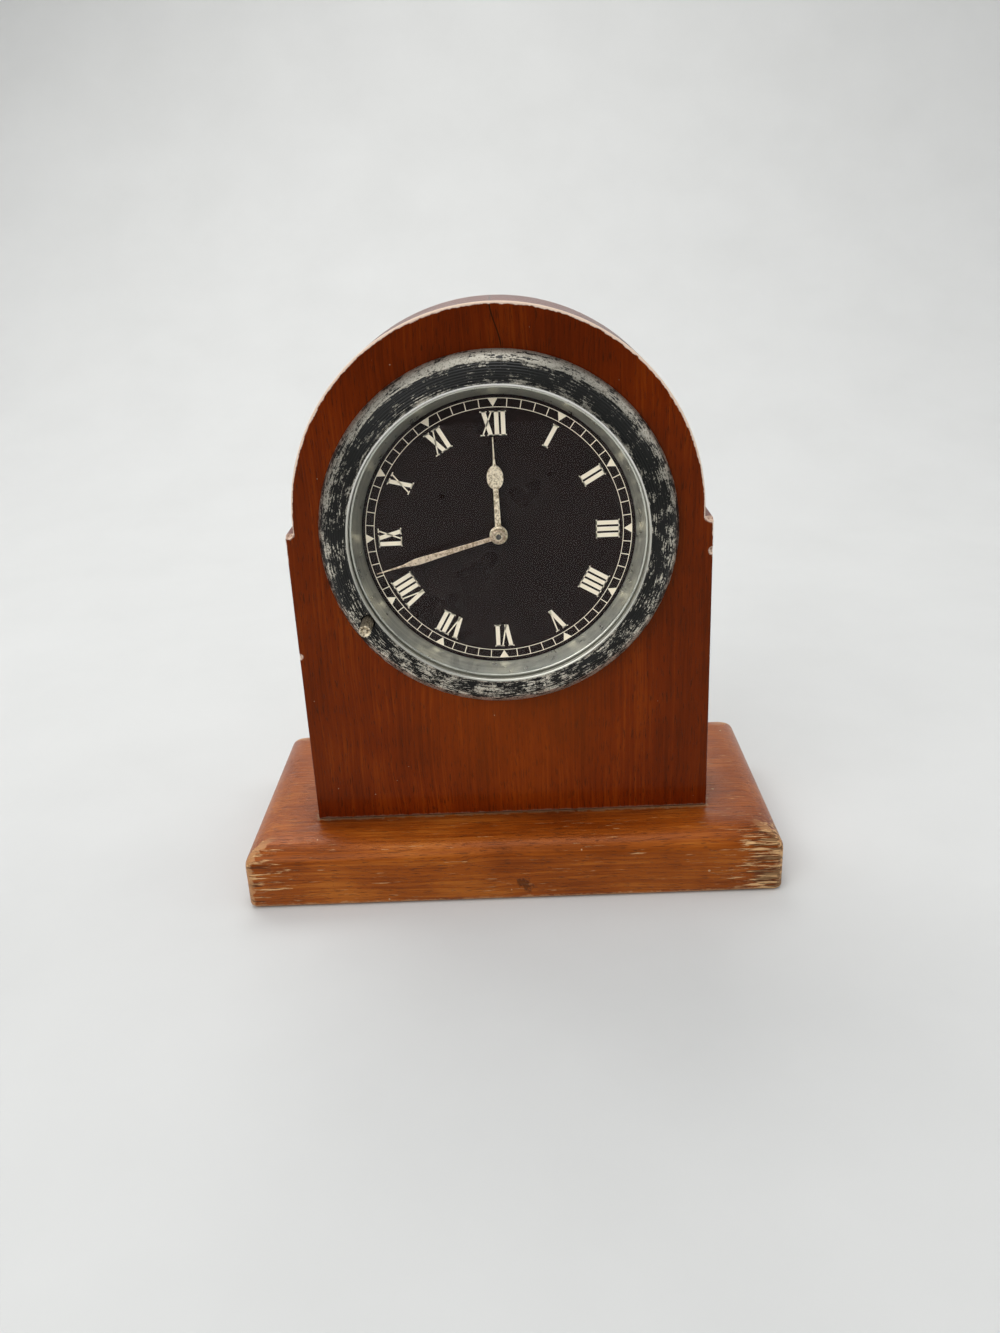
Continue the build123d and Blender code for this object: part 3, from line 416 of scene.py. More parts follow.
CHIP_REACH = 1.36
ARRIS_WEAR = 0.56 * MM
# Centre of a painted pool of light on the front of the case, below the rim.
PAINTED_LIGHT_CENTRE = Vector((2 * MM, WOOD_FRONT, 42 * MM))
SHELLAC = (1.0, 0.36, 0.10, 1)
CASE_GRAIN = {
    "Dark": (0.090, 0.009, 0.001, 1),
    "Middle": (0.155, 0.0165, 0.001, 1),
    "Light": (0.225, 0.033, 0.002, 1),
}
CASE_PORE, CRACK_DARK = (0.030, 0.006, 0.002, 1), (0.010, 0.004, 0.002, 1)
# Tints for painted shade at the sides and top of the case, and for a painted pool of light below the rim.
CASE_PAINTED_SHADE, CASE_PAINTED_LIGHT = (0.060, 0.006, 0.001, 1), (0.290, 0.050, 0.002, 1)
CASE_SPECK = (0.50, 0.36, 0.24, 1)
BARE_WOOD, FOOT_DUST = (0.86, 0.68, 0.54, 1), (0.34, 0.28, 0.20, 1)

case_wood, shader, place = new_finish("case_mahogany")
axes = axes_of(place)
grain = use_group(grain_group, {"Vector": place, **CASE_GRAIN})
aside = unsigned(axes[0])
above = larger(minus(axes[2], ARCH_Z), 0.0)
step = times(calc("LESS_THAN", axes[2], SHOULDER_Z), SHOULDER_STEP)
from_side = minus(plus(step, ARCH), slope(aside, above))
from_front = minus(axes[1], WOOD_FRONT)
from_back = minus(WOOD_BACK, axes[1])
from_arris = plus(unsigned(from_side), smaller(from_front, from_back))
arch_share = eased(axes[2], SHOULDER_Z - 20 * MM, ARCH_Z + 30 * MM, 0.30, 1.20)
worn = worn_band(place, from_arris, times(arch_share, ARRIS_WEAR), 0.38)
for centre, size in CHIPS:
    chip = worn_band(place, distance_to(place, centre), CHIP_REACH * size, 0.2)
    worn = larger(worn, chip)
crack_line = eased(axes[2], ARCH_TOP - 10 * MM, ARCH_TOP, 2.4 * MM, 0.2 * MM)
crack_gap = unsigned(minus(axes[0], crack_line))
crack_end = eased(axes[2], ARCH_TOP - 11 * MM, ARCH_TOP - 8.5 * MM)
crack = times(eased(crack_gap, 0.22 * MM, 0.08 * MM), crack_end)
# Painted shade: the wood is darkened towards both sides and over the top of the arch, where less light falls.
painted_side_shade = eased(aside, 20 * MM, HALF_BODY, 0.0, 0.3)
painted_top_shade = eased(axes[2], 110 * MM, 140 * MM, 0.0, 0.45)
foot_dust = worn_band(place, minus(axes[2], base_high.z), 0.6 * MM, 0.5)
colour = layered(
    grain["Color"],
    (times(grain["Pores"], 0.75), CASE_PORE),
    # painted shade at the sides and over the top of the arch
    (larger(painted_side_shade, painted_top_shade), CASE_PAINTED_SHADE),
    # painted pool of light round a point below the rim
    (eased(distance_to(place, PAINTED_LIGHT_CENTRE), 36 * MM, 6 * MM, 0.0, 0.30), CASE_PAINTED_LIGHT),
    (crack, CRACK_DARK),
    (times(speckled(place, 0.24 * MM, 3.2 * MM), 0.6), CASE_SPECK),
    (worn, BARE_WOOD),
    (times(foot_dust, 0.30), FOOT_DUST),
)
fill(shader, {
    "Base Color": colour,
    "Roughness": eased(worn, 0.0, 1.0, 0.30, 0.62),
    "Coat Weight": eased(worn, 0.0, 1.0, 0.05, 0.0),
    "Coat Roughness": 0.12,
    "Specular IOR Level": 0.4,
    "Specular Tint": SHELLAC,
})
relief = times_plus(grain["Pores"], -0.7, times(grain["Tone"], 0.3))
bumped(shader, times_plus(worn, -0.8, relief), 0.05 * MM)
print("finish:", case_wood.name)

# %% [markdown]
# ## Lighter wood of the plinth
# The plinth's grain lies along its length, so the same grain group is turned on its side with a Mapping node.
# It is lighter and more orange, and its corners and foot are scuffed through to bare wood in short scratches.
# The soft band down each mitre is partly wear and partly a painted highlight.

# %% Plinth wood
HALF_WIDTH = base_high.x
HALF_DEPTH = base_high.y
BASE_TOP = base_high.z
BRUISE = Vector((3.0 * MM, base_low.y, 4.5 * MM))
PLINTH_GRAIN = {
    "Dark": (0.160, 0.028, 0.002, 1),
    "Middle": (0.285, 0.062, 0.005, 1),
    "Light": (0.43, 0.125, 0.015, 1),
}
# The pale scuff tint also paints the highlight along the mitres.
PLINTH_PORE, SCUFF_AND_PAINTED_HIGHLIGHT, SPLIT_DARK = (0.040, 0.010, 0.004, 1), (0.72, 0.44, 0.21, 1), (0.040, 0.012, 0.004, 1)
PLINTH_SPECK, PLINTH_DUST = (0.60, 0.42, 0.24, 1), (0.36, 0.27, 0.16, 1)

plinth_wood, shader, place = new_finish("plinth_mahogany")
axes = axes_of(place)
lying = add_node("ShaderNodeMapping", {"Vector": place, "Rotation": (0, pi / 2, 0)}).outputs[0]
grain = use_group(grain_group, {"Vector": lying, **PLINTH_GRAIN})
aside = unsigned(axes[0])
from_end = minus(HALF_WIDTH, aside)
from_long = minus(HALF_DEPTH, unsigned(axes[1]))
from_corner = plus(from_end, from_long)
from_mitre = unsigned(minus(from_end, from_long))
rightward = eased(axes[0], 20 * MM, 60 * MM, 0.6, 1.0)
forward = eased(axes[1], 0.0, -25 * MM, 0.5, 1.0)
near_corner = times(eased(from_corner, 24 * MM, 1 * MM, 0.0, 0.26), rightward)
near_corner = times(near_corner, forward)
scrape = noise(lying, (1.5, 1.5, 0.13), 4.0, 0.7)
scuffed = eased(plus(scrape, near_corner), 0.70, 0.79)
scratches = eased(noise(lying, (1.9, 1.9, 0.14), 3.0, 0.6), 0.65, 0.73)
splits = times_plus(near_corner, 0.8, noise(lying, (1.1, 1.1, 0.07), 4.0, 0.7))
bruise = worn_band(place, distance_to(place, BRUISE), 2.1 * MM, 0.7)
splits = larger(eased(splits, 0.71, 0.77), bruise)
# Band down each mitre: partly wear, partly a painted highlight where the rounded mitre catches the light.
mitre_wear_and_highlight = worn_band(place, from_mitre, 2.2 * MM, 0.5)
mitre_wear_and_highlight = times(mitre_wear_and_highlight, eased(from_corner, 16 * MM, 6 * MM, 0.0, 0.45))
foot = worn_band(place, axes[2], 1.2 * MM, 0.6)
# This mask carries the mitres' painted highlight as well as the real scuffs and scratches.
worn = larger(scuffed, larger(mitre_wear_and_highlight, times(foot, 0.4)))
worn = larger(worn, times(scratches, 0.6))
middle_y = (WOOD_FRONT + WOOD_BACK) / 2
beyond_face = unsigned(minus(axes[1], middle_y))
beyond_face = minus(beyond_face, WOOD_BACK - middle_y)
from_case = larger(minus(aside, HALF_BODY), beyond_face)
colour = layered(
    grain["Color"],
    (times(grain["Pores"], 0.6), PLINTH_PORE),
    (worn, SCUFF_AND_PAINTED_HIGHLIGHT),
    (times(splits, 0.7), SPLIT_DARK),
    (times(speckled(place, 0.45 * MM, 4.5 * MM), 0.7), PLINTH_SPECK),
    (times(worn_band(place, from_case, 1.0 * MM, 1.0), 0.4), PLINTH_DUST),
)
fill(shader, {
    "Base Color": colour,
    "Roughness": eased(worn, 0.0, 1.0, 0.34, 0.6),
    "Coat Weight": eased(worn, 0.0, 1.0, 0.12, 0.0),
    "Coat Roughness": 0.25,
    "Specular IOR Level": 0.6,
    "Specular Tint": SHELLAC,
})
relief = times_plus(grain["Pores"], -0.7, times(grain["Tone"], 0.5))
relief = times_plus(splits, -2.0, times_plus(worn, -0.9, relief))
bumped(shader, relief, 0.08 * MM)
print("finish:", plinth_wood.name)

# %% [markdown]
# ## Metals, dial and glass
# The rim was black lacquer over white metal. Its outer bead and inner lip are rubbed bare, the ridges between
# still hold most of the black, and the boundary breaks up into flecks that run round the rim. One number for
# the chance of bare metal at each radius is enough: the flecks decide the rest. Low on the rim, where hands
# turned it, the wear is dull and even instead. The bare metal has painted shade at the top and painted light
# at the bottom, and the lip a painted highlight at the top.

# %% Rim lacquer
RAMP_INNER, RAMP_OUTER = 34.0, 43.0
BARE_BY_RADIUS = (
    (35.3, 1.0), (35.5, 0.52), (36.2, 0.44), (36.6, 0.26), (39.0, 0.24),
    (39.9, 0.38), (40.4, 0.68), (41.6, 0.66), (42.3, 0.55),
)
LACQUER, PIT = (0.008, 0.008, 0.007, 1), (0.13, 0.115, 0.09, 1)
# Bare metal and lip in painted shade and painted light: darker above and lighter below, and a painted
# highlight on the lip above.
BARE_PAINTED_SHADE_ABOVE, BARE_PAINTED_LIGHT_BELOW = (0.34, 0.32, 0.27, 1), (0.70, 0.66, 0.56, 1)
LIP_PAINTED_HIGHLIGHT_ABOVE, LIP_PAINTED_SHADE_BELOW = (0.98, 0.97, 0.93, 1), (0.66, 0.65, 0.57, 1)
LACQUER_SHEEN = (0.3, 0.3, 0.3, 1)

rim_lacquer, shader, place = new_finish("worn_rim_lacquer")
marks = turned_marks(place)
share = minus(marks["Radius"], RAMP_INNER * MM)
ramp = add_node("ShaderNodeValToRGB", {0: over(share, (RAMP_OUTER - RAMP_INNER) * MM)})
stops = ramp.color_ramp.elements
for k, (radius, bare) in enumerate(BARE_BY_RADIUS):
    position = (radius - RAMP_INNER) / (RAMP_OUTER - RAMP_INNER)
    stop = stops[k] if k < 2 else stops.new(position)
    stop.position = position
    stop.color = (bare, bare, bare, 1)
by_radius = ramp.outputs[0]
lip = eased(marks["Radius"], 35.55 * MM, 35.35 * MM)
below = eased(marks["Up"], 0.85, -0.1)
rubbed = eased(marks["Up"], -0.45, -0.95, 0.0, 0.16)
lower = plus(rubbed, eased(marks["Radius"], 36 * MM, 41 * MM, 0.28, 0.37))
lower = minus(lower, by_radius)
chance = times_plus(times(below, 0.85), lower, by_radius)
chance = times_plus(eased(marks["Rings"], 0.56, 0.66), 0.08, chance)
patches = eased(noise(place, 0.30, 2.0), 0.32, 0.68, 0.0, 0.26)
flecks = plus(patches, eased(marks["Flecks"], 0.3, 0.7, 0.0, 0.28))
flecks = plus(flecks, eased(marks["Streaks"], 0.3, 0.7, 0.0, 0.46))
bare = larger(eased(minus(chance, flecks), -0.015, 0.03), lip)
pits = noise(place, 2.2, 3.0, 0.7)
# Painted light by bearing: the bare metal is lighter low on the rim and darker at the top, and the lip gets a
# painted highlight at the top.
bright = mixed(below, BARE_PAINTED_SHADE_ABOVE, BARE_PAINTED_LIGHT_BELOW)
bright = mixed(lip, bright, mixed(below, LIP_PAINTED_HIGHLIGHT_ABOVE, LIP_PAINTED_SHADE_BELOW))
grey = mixed(larger(eased(pits, 0.36, 0.50), lip), PIT, bright)
fill(shader, {
    "Base Color": mixed(bare, LACQUER, grey),
    "Metallic": times(bare, 0.85),
    "Specular IOR Level": 0.25,
    "Roughness": mixed(bare, LACQUER_SHEEN, eased(lip, 0.0, 1.0, 0.42, 0.34)),
})
relief = times_plus(bare, -0.6, times(marks["Rings"], 0.5))
bumped(shader, relief, 0.06 * MM)

# %% Metals
PLUNGER_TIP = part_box("setting_plunger")[0].y
# How far the painted shade runs back from the button's front end.
TIP_SHADE_RUN = 2 * MM


def turned_metal(name, dull, bright, roughness, metallic):
    """Metal with lathe rings and tarnish, for pieces turned about the clock's axis."""
    material, shader, place = new_finish(name)
    rings = turned_marks(place)["Rings"]
    tarnish = noise(place, 0.35, 5.0, 0.65)
    shade = times_plus(rings, 0.6, times(tarnish, 0.4))
    fill(shader, {
        "Base Color": mixed(eased(shade, 0.35, 0.65), (*dull, 1), (*bright, 1)),
        "Roughness": eased(tarnish, 0.3, 0.7, roughness, roughness + 0.15),
        "Metallic": metallic,
    })
    bumped(shader, rings, 0.02 * MM)
    return material


def tarnished_metal(name, dull, bright, roughness, spots, tip=None):
    """Metal with small spots of tarnish, and painted shade behind a tip if one is given."""
    material, shader, place = new_finish(name)
    speckle = noise(place, spots, 4.0, 0.7)
    cloud = noise(place, 0.2, 3.0)
    shade = times_plus(speckle, 0.75, times(cloud, 0.25))
    colour = mixed(eased(shade, 0.40, 0.56), (*dull, 1), (*bright, 1))
    if tip is not None:
        # Painted shade: behind the tip the metal is darkened towards its dull colour, as in the shadow of its
        # hole.
        shade_behind_tip = eased(axes_of(place)[1], tip, tip + TIP_SHADE_RUN, 0.0, 0.65)
        colour = mixed(shade_behind_tip, colour, (*dull, 1))
    fill(shader, {
        "Base Color": colour,
        "Roughness": eased(shade, 0.4, 0.6, roughness + 0.2, roughness),
        "Metallic": 0.85,
    })
    bumped(shader, speckle, 0.015 * MM)
    return material


sight_metal = turned_metal("satin_sight_metal", (0.58, 0.585, 0.51), (0.75, 0.75, 0.66), 0.26, 0.85)
drum_metal = turned_metal("dull_drum_brass", (0.38, 0.28, 0.13), (0.50, 0.38, 0.18), 0.38, 0.9)
hour_metal = tarnished_metal("silvered_hour_hand", (0.42, 0.33, 0.21), (0.96, 0.85, 0.65), 0.45, 1.8)
minute_metal = tarnished_metal("bronzed_minute_hand", (0.38, 0.27, 0.18), (0.78, 0.64, 0.49), 0.40, 1.8)
# The button's body behind its front end gets painted shade.
plunger_brass = tarnished_metal(
    "worn_plunger_brass", (0.20, 0.16, 0.11), (0.90, 0.78, 0.58), 0.34, 1.6, PLUNGER_TIP
)
works_brass = tarnished_metal("works_brass", (0.45, 0.31, 0.12), (0.72, 0.54, 0.24), 0.28, 0.4)
works_steel = tarnished_metal("works_steel", (0.26, 0.25, 0.24), (0.56, 0.55, 0.53), 0.28, 0.5)
dark_steel = tarnished_metal("dark_arbor_steel", (0.04, 0.035, 0.03), (0.12, 0.11, 0.10), 0.4, 1.2)

# %% Dial, print and glass
DIAL_DUST = (0.45, 0.38, 0.32, 1)

dial_black, shader, place = new_finish("dial_black")
haze = noise(place, 0.06)
black = mixed(haze, (0.006, 0.003, 0.0025, 1), (0.014, 0.007, 0.006, 1))
dust = times(speckled(place, 0.3 * MM, 4.5 * MM), 0.45)
fill(shader, {
    "Base Color": mixed(dust, black, DIAL_DUST),
    "Roughness": eased(haze, 0.3, 0.7, 0.26, 0.34),
    "Specular IOR Level": 0.15,
})

print_cream, shader, place = new_finish("dial_print_cream")
cream = mixed(noise(place, 0.5, 4.0), (0.84, 0.74, 0.56, 1), (0.97, 0.88, 0.71, 1))
fill(shader, {"Base Color": cream, "Roughness": 0.5})

clear_glass, shader, place = new_finish("clear_glass")
film = mixed(noise(place, 0.05), (0.98, 0.985, 0.98, 1), (1.0, 1.0, 1.0, 1))
fill(shader, {"Base Color": film, "Roughness": 0.0, "Transmission Weight": 1.0, "IOR": 1.15})
nodes = clear_glass.node_tree.nodes
unseen = nodes.new("ShaderNodeBsdfTransparent").outputs[0]
shadow_ray = nodes.new("ShaderNodeLightPath").outputs["Is Shadow Ray"]
lit_through = add_node("ShaderNodeMixShader", {0: shadow_ray, 1: shader.outputs[0], 2: unseen})
fill(nodes["Material Output"], {"Surface": lit_through.outputs[0]})

paper, shader, place = new_finish("pale_paper")
fibre = mixed(noise(place, 0.02, 4.0), (0.60, 0.60, 0.585, 1), (0.66, 0.66, 0.645, 1))
fill(shader, {"Base Color": fibre, "Roughness": 0.9})
floor.data.materials.append(paper)
print("finishes:", len(bpy.data.materials))

# %% [markdown]
# ## Modelling helpers
# Most of a clock is turned, so the main helper works as a lathe does: a chain of points is drawn by extruding
# one vertex, and the chain is spun round the clock's axis. Others cut one piece with another, or close a
# piece off: doubles merged, normals outwards, edges smooth where they are shallow, a finish, and a body to
# ride on.

# %% Modelling helpers
MERGE = 0.002 * MM


def start_vertex(name, place):
    """New piece that is a single vertex, left in edit mode."""
    bpy.ops.mesh.primitive_plane_add(size=MM)
    piece = named(name)
    mode("EDIT")
    bpy.ops.mesh.select_mode(type="VERT")
    bpy.ops.mesh.merge(type="CENTER")
    bpy.ops.transform.translate(value=place)
    return piece


def draw_chain(places):
    """Extrude the selected vertex from place to place."""
    for start, end in zip(places, places[1:]):
        bpy.ops.mesh.extrude_vertices_move(TRANSFORM_OT_translate={"value": end - start})


def close_up(smooth=35.0):
    """Merge doubles, turn the normals outwards, leave edit mode and smooth shallow edges."""
    bpy.ops.mesh.select_all(action="SELECT")
    bpy.ops.mesh.remove_doubles(threshold=MERGE)
    bpy.ops.mesh.normals_make_consistent(inside=False)
    mode("OBJECT")
    bpy.ops.object.shade_smooth_by_angle(angle=radians(smooth))


def fill_and_extrude(travel):
    """Fill a closed chain, extrude it and close the piece up."""
    bpy.ops.mesh.select_all(action="SELECT")
    bpy.ops.mesh.remove_doubles(threshold=MERGE)
    bpy.ops.mesh.edge_face_add()
    extrude(travel)
    close_up()


def lathe(name, profile, steps=192, smooth=35.0):
    """Closed profile of radius and height, in metres, spun round the clock's axis."""
    places = [spot(radius, height) for radius, height in profile]
    piece = start_vertex(name, places[0])
    draw_chain(places + places[:1])
    bpy.ops.mesh.select_all(action="SELECT")
    bpy.ops.mesh.spin(steps=steps, angle=2 * pi, center=AXIS, axis=(0, 1, 0))
    close_up(smooth)
    return piece


def cylinder(name, radius, place, depth, sides):
    """Plain cylinder that lies along the clock's axis or beside it."""
    bpy.ops.mesh.primitive_cylinder_add(
        vertices=sides, radius=radius, depth=depth, rotation=(pi / 2, 0, 0), location=place
    )
    return named(name)


def apply_modifier(piece, kind, **settings):
    """Add a modifier to a piece and apply it."""
    modifier = piece.modifiers.new("step", kind)
    for name, value in settings.items():
        setattr(modifier, name, value)
    bpy.ops.object.select_all(action="DESELECT")
    piece.select_set(True)
    bpy.context.view_layer.objects.active = piece
    bpy.ops.object.modifier_apply(modifier="step")


def cut_with(piece, tool):
    """Cut one piece with another, which is then thrown away."""
    apply_modifier(piece, "BOOLEAN", object=tool, operation="DIFFERENCE", solver="EXACT")
    bpy.data.objects.remove(tool)


def joined(name, pieces):
    """Several pieces as one."""
    bpy.ops.object.select_all(action="DESELECT")
    for piece in pieces:
        piece.select_set(True)
    bpy.context.view_layer.objects.active = pieces[0]
    bpy.ops.object.join()
    pieces[0].name = pieces[0].data.name = name
    return pieces[0]


def copied(piece, matrix):
    """Copy of a piece, with its own mesh, moved by a matrix."""
    twin = piece.copy()
    twin.data = piece.data.copy()
    twin.data.transform(matrix)
    bpy.context.scene.collection.objects.link(twin)
    return twin


def fit_out(piece, body, slot, finish, *nodes):
    """Give a piece its finish, its body and the CAD nodes that it stands for. The slot is not used."""
    piece.data.materials.clear()
    piece.data.materials.append(finish)
    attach(piece, body)
    if nodes:
        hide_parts(*nodes)
    print(piece.name, "faces:", len(piece.data.polygons))


# %% [markdown]
# ## Plinth
# A moulded plinth could be a cube with bevelled edges, but the top here is rounded more outwards than down.
# So its footprint is extruded upwards in small steps, and each step is pulled in by the same amount on all
# four sides. The corners then meet in mitres by themselves, and one bevel softens the mitres as years of
# dusting have.

# %% Plinth
ROUND_OUT = 7.6 * MM
ROUND_DOWN = 5.0 * MM
FOOT_EDGE = 1.5 * MM
FOOT_STEPS, ROUND_STEPS = 4, 10
CORNER_SOFTNESS = 1.5 * MM

foot_turns = [pi / 2 * k / FOOT_STEPS for k in range(FOOT_STEPS + 1)]
crown_turns = [pi / 2 * k / ROUND_STEPS for k in range(ROUND_STEPS + 1)]
levels = [(FOOT_EDGE * (1 - sin(turn)), FOOT_EDGE * (1 - cos(turn))) for turn in foot_turns]
levels += [(ROUND_OUT * (1 - cos(turn)), BASE_TOP - ROUND_DOWN * (1 - sin(turn))) for turn in crown_turns]


def footprint(inset):
    """Width and depth of the plinth where it is pulled in by an inset."""
    return Vector((2 * (HALF_WIDTH - inset), 2 * (HALF_DEPTH - inset)))


bpy.ops.mesh.primitive_plane_add(size=1)
plinth = named("plinth")
mode("EDIT")
inset, level = levels[0]
size = footprint(inset)
bpy.ops.transform.resize(value=(size.x, size.y, 1), center_override=(0, 0, 0))
for next_inset, next_level in levels[1:]:
    next_size = footprint(next_inset)
    extrude((0, 0, next_level - level))
    growth = (next_size.x / size.x, next_size.y / size.y, 1)
    bpy.ops.transform.resize(value=growth, center_override=(0, 0, next_level))
    size, level = next_size, next_level


def at_corner(edge):
    """Whether an edge runs up one of the four corners."""
    first, second = (vertex.co for vertex in edge.verts)
    return first.x * second.x > 0 and first.y * second.y > 0


pick(plinth, "EDGE", at_corner)
bpy.ops.mesh.bevel(offset=CORNER_SOFTNESS, segments=4, affect="EDGES")
close_up(40.0)
fit_out(plinth, "case", "plinth_wood", plinth_wood, "base_plinth")

# %% [markdown]
# ## Arched body
# The outline is drawn once: half a circle spun from a vertex, then straight runs down over the shoulders. It
# is filled, extruded to the depth of the wood and bored for the drum. A small bevel takes off the arris, and
# rough lumps cut the chips out of the shoulders.

# %% Arched body
BORE, BORE_FRONT, BORE_BACK = 37.93 * MM, 5 * MM, 40 * MM
CHIP_ROUGHNESS, CHIP_SEED = 0.18 * MM, 3
ARRIS = 0.7 * MM
ARCH_STEPS = 96

body = start_vertex("arched_body", Vector((ARCH, WOOD_FRONT, ARCH_Z)))
bpy.ops.mesh.spin(steps=ARCH_STEPS, angle=pi, center=(0, WOOD_FRONT, ARCH_Z), axis=(0, 1, 0))
corners = [(-ARCH, ARCH_Z), (-ARCH, SHOULDER_Z), (-HALF_BODY, SHOULDER_Z), (-HALF_BODY, BASE_TOP)]
corners += [(HALF_BODY, BASE_TOP), (HALF_BODY, SHOULDER_Z), (ARCH, SHOULDER_Z), (ARCH, ARCH_Z)]
draw_chain([Vector((x, WOOD_FRONT, z)) for x, z in corners])
fill_and_extrude((0, WOOD_BACK - WOOD_FRONT, 0))
bore_place = spot(0, (BORE_FRONT - BORE_BACK) / 2)
cut_with(body, cylinder("bore_cutter", BORE, bore_place, BORE_FRONT + BORE_BACK, 192))
apply_modifier(body, "BEVEL", width=ARRIS, segments=3, limit_method="ANGLE", angle_limit=radians(40))
for centre, size in CHIPS:
    bpy.ops.mesh.primitive_ico_sphere_add(subdivisions=3, radius=size, location=centre)
    lump = bpy.context.object
    mode("EDIT")
    bpy.ops.mesh.select_all(action="SELECT")
    bpy.ops.transform.vertex_random(offset=CHIP_ROUGHNESS, seed=CHIP_SEED)
    mode("OBJECT")
    cut_with(body, lump)
apply_modifier(body, "WEIGHTED_NORMAL", keep_sharp=True)
fit_out(body, "case", "case_wood", case_wood, "case_body")

# %% [markdown]
# ## Rim
# The rim is turned from the solid: a rounded outer bead, a slope with fine ridges and a half-round lip over
# the glass. The ridges are a ripple on the slope's height, so one formula gives the whole front. The hole for
# the setting plunger is drilled afterwards, as on the real rim.

# %% Rim
glass_low, glass_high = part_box("glass")
GLASS = (glass_high.x - glass_low.x) / 2
GLASS_FRONT = WOOD_FRONT - glass_low.y
GLASS_BACK = WOOD_FRONT - glass_high.y
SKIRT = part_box("drum_case")[1].x + 0.3 * MM
COLLAR = GLASS + 0.45 * MM
COLLAR_BORE = GLASS - 0.5 * MM
OPENING = GLASS - 0.4 * MM
COLLAR_END = -0.9 * MM
SKIRT_FOOT = 0.3 * MM
SKIRT_CEILING = 1.1 * MM
SKIRT_HEIGHT = 1.3 * MM
BULGE, FALL = 2.6, 0.62
RIDGES, RIDGE_HEIGHT = 7, 0.16 * MM
RIDGES_START, RIDGES_END, RIDGES_RUN, RIDGES_FADE = 0.34, 0.97, 0.63, 0.06
LIP = 0.5 * MM
SLOPE_STEPS, LIP_STEPS = 70, 12
SEAT = 0.05 * MM


def rim_front(share):
    """Radius and height of the rim's front, from the skirt (0) to the inner lip (1)."""
    radius = RIM + (OPENING + 2 * LIP - RIM) * share
    bulge = (1 - (1 - share) ** BULGE) ** FALL
    height = SKIRT_HEIGHT + (RIM_FRONT - LIP - SKIRT_HEIGHT) * bulge
    fade_in = min(max((share - RIDGES_START) / RIDGES_FADE, 0), 1)
    fade_out = min(max((RIDGES_END - share) / RIDGES_FADE, 0), 1)
    ripple = (cos(2 * pi * RIDGES * (share - RIDGES_START) / RIDGES_RUN) - 1) / 2
    return radius, height + fade_in * fade_out * ripple * RIDGE_HEIGHT


front = [rim_front(k / SLOPE_STEPS) for k in range(SLOPE_STEPS + 1)]
lip = []
for k in range(1, LIP_STEPS + 1):
    turn = pi * k / LIP_STEPS
    lip.append((OPENING + LIP * (1 + cos(turn)), RIM_FRONT - LIP * (1 - sin(turn))))
lip.append((OPENING, GLASS_FRONT + SEAT))
back = [
    (GLASS + SEAT, GLASS_FRONT + SEAT),
    (GLASS + SEAT, GLASS_BACK),
    (COLLAR_BORE, GLASS_BACK),
    (COLLAR_BORE, COLLAR_END),
    (COLLAR, COLLAR_END),
    (COLLAR, SKIRT_CEILING),
    (SKIRT, SKIRT_CEILING),
    (SKIRT, SKIRT_FOOT),
    (RIM - 0.2 * MM, SKIRT_FOOT),
]
rim = lathe("turned_rim", front + lip + back, steps=256, smooth=50.0)

plunger_low, plunger_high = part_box("setting_plunger")
PLUNGER = (plunger_low + plunger_high) / 2
PLUNGER_HEAD = (plunger_high.x - plunger_low.x) / 2
HOLE = PLUNGER_HEAD + 0.35 * MM
HOLE_FLOOR = rim_low.y + 3.6 * MM
DRILL = 8 * MM

hole_place = (PLUNGER.x, HOLE_FLOOR - DRILL / 2, PLUNGER.z)
cut_with(rim, cylinder("hole_cutter", HOLE, hole_place, DRILL, 48))
fit_out(rim, "bezel", "rim_lacquer", rim_lacquer, "rim")

# %% [markdown]
# ## Glass and sight ring
# The flat glass drops into the rim, and a bright cone behind it leads the eye down to the dial. Both are
# turned, the glass with a ground edge and the cone with a small rolled bead where it meets the glass.

# %% Glass and sight ring
GROUND = 0.25 * MM
AXLE = 0.001 * MM
glass = lathe(
    "flat_glass",
    [
        (AXLE, GLASS_BACK),
        (GLASS, GLASS_BACK),
        (GLASS, GLASS_FRONT - GROUND),
        (GLASS - GROUND, GLASS_FRONT),
        (AXLE, GLASS_FRONT),
    ],
    steps=128,
)
fit_out(glass, "bezel", "clear_glass", clear_glass, "glass")

sight_low, sight_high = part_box("sight_ring")
SIGHT = (sight_high.x - sight_low.x) / 2
SIGHT_INNER = SIGHT - 2.4 * MM
SIGHT_BACK = WOOD_FRONT - sight_high.y
sight = lathe(
    "sight_cone",
    [
        (SIGHT, GLASS_BACK - 0.01 * MM),
        (SIGHT, GLASS_BACK - 0.9 * MM),
        (SIGHT_INNER + 0.3 * MM, SIGHT_BACK),
        (SIGHT_INNER, SIGHT_BACK),
        (SIGHT_INNER, SIGHT_BACK + 0.25 * MM),
        (SIGHT - 0.55 * MM, GLASS_BACK - 0.55 * MM),
        (SIGHT - 0.42 * MM, GLASS_BACK - 0.12 * MM),
        (SIGHT - 0.25 * MM, GLASS_BACK - 0.01 * MM),
    ],
)
fit_out(sight, "bezel", "sight_metal", sight_metal, "sight_ring")

# %% [markdown]
# ## Dial and its print
# The dial is a thin black plate. The figures were printed in cream, and the numerals stand with their feet
# towards the centre. Each letter is built once from leaning strokes and thin serifs, then copied to every
# numeral that has it. The track is two fine circles with a tick for each minute and a triangle for each five.

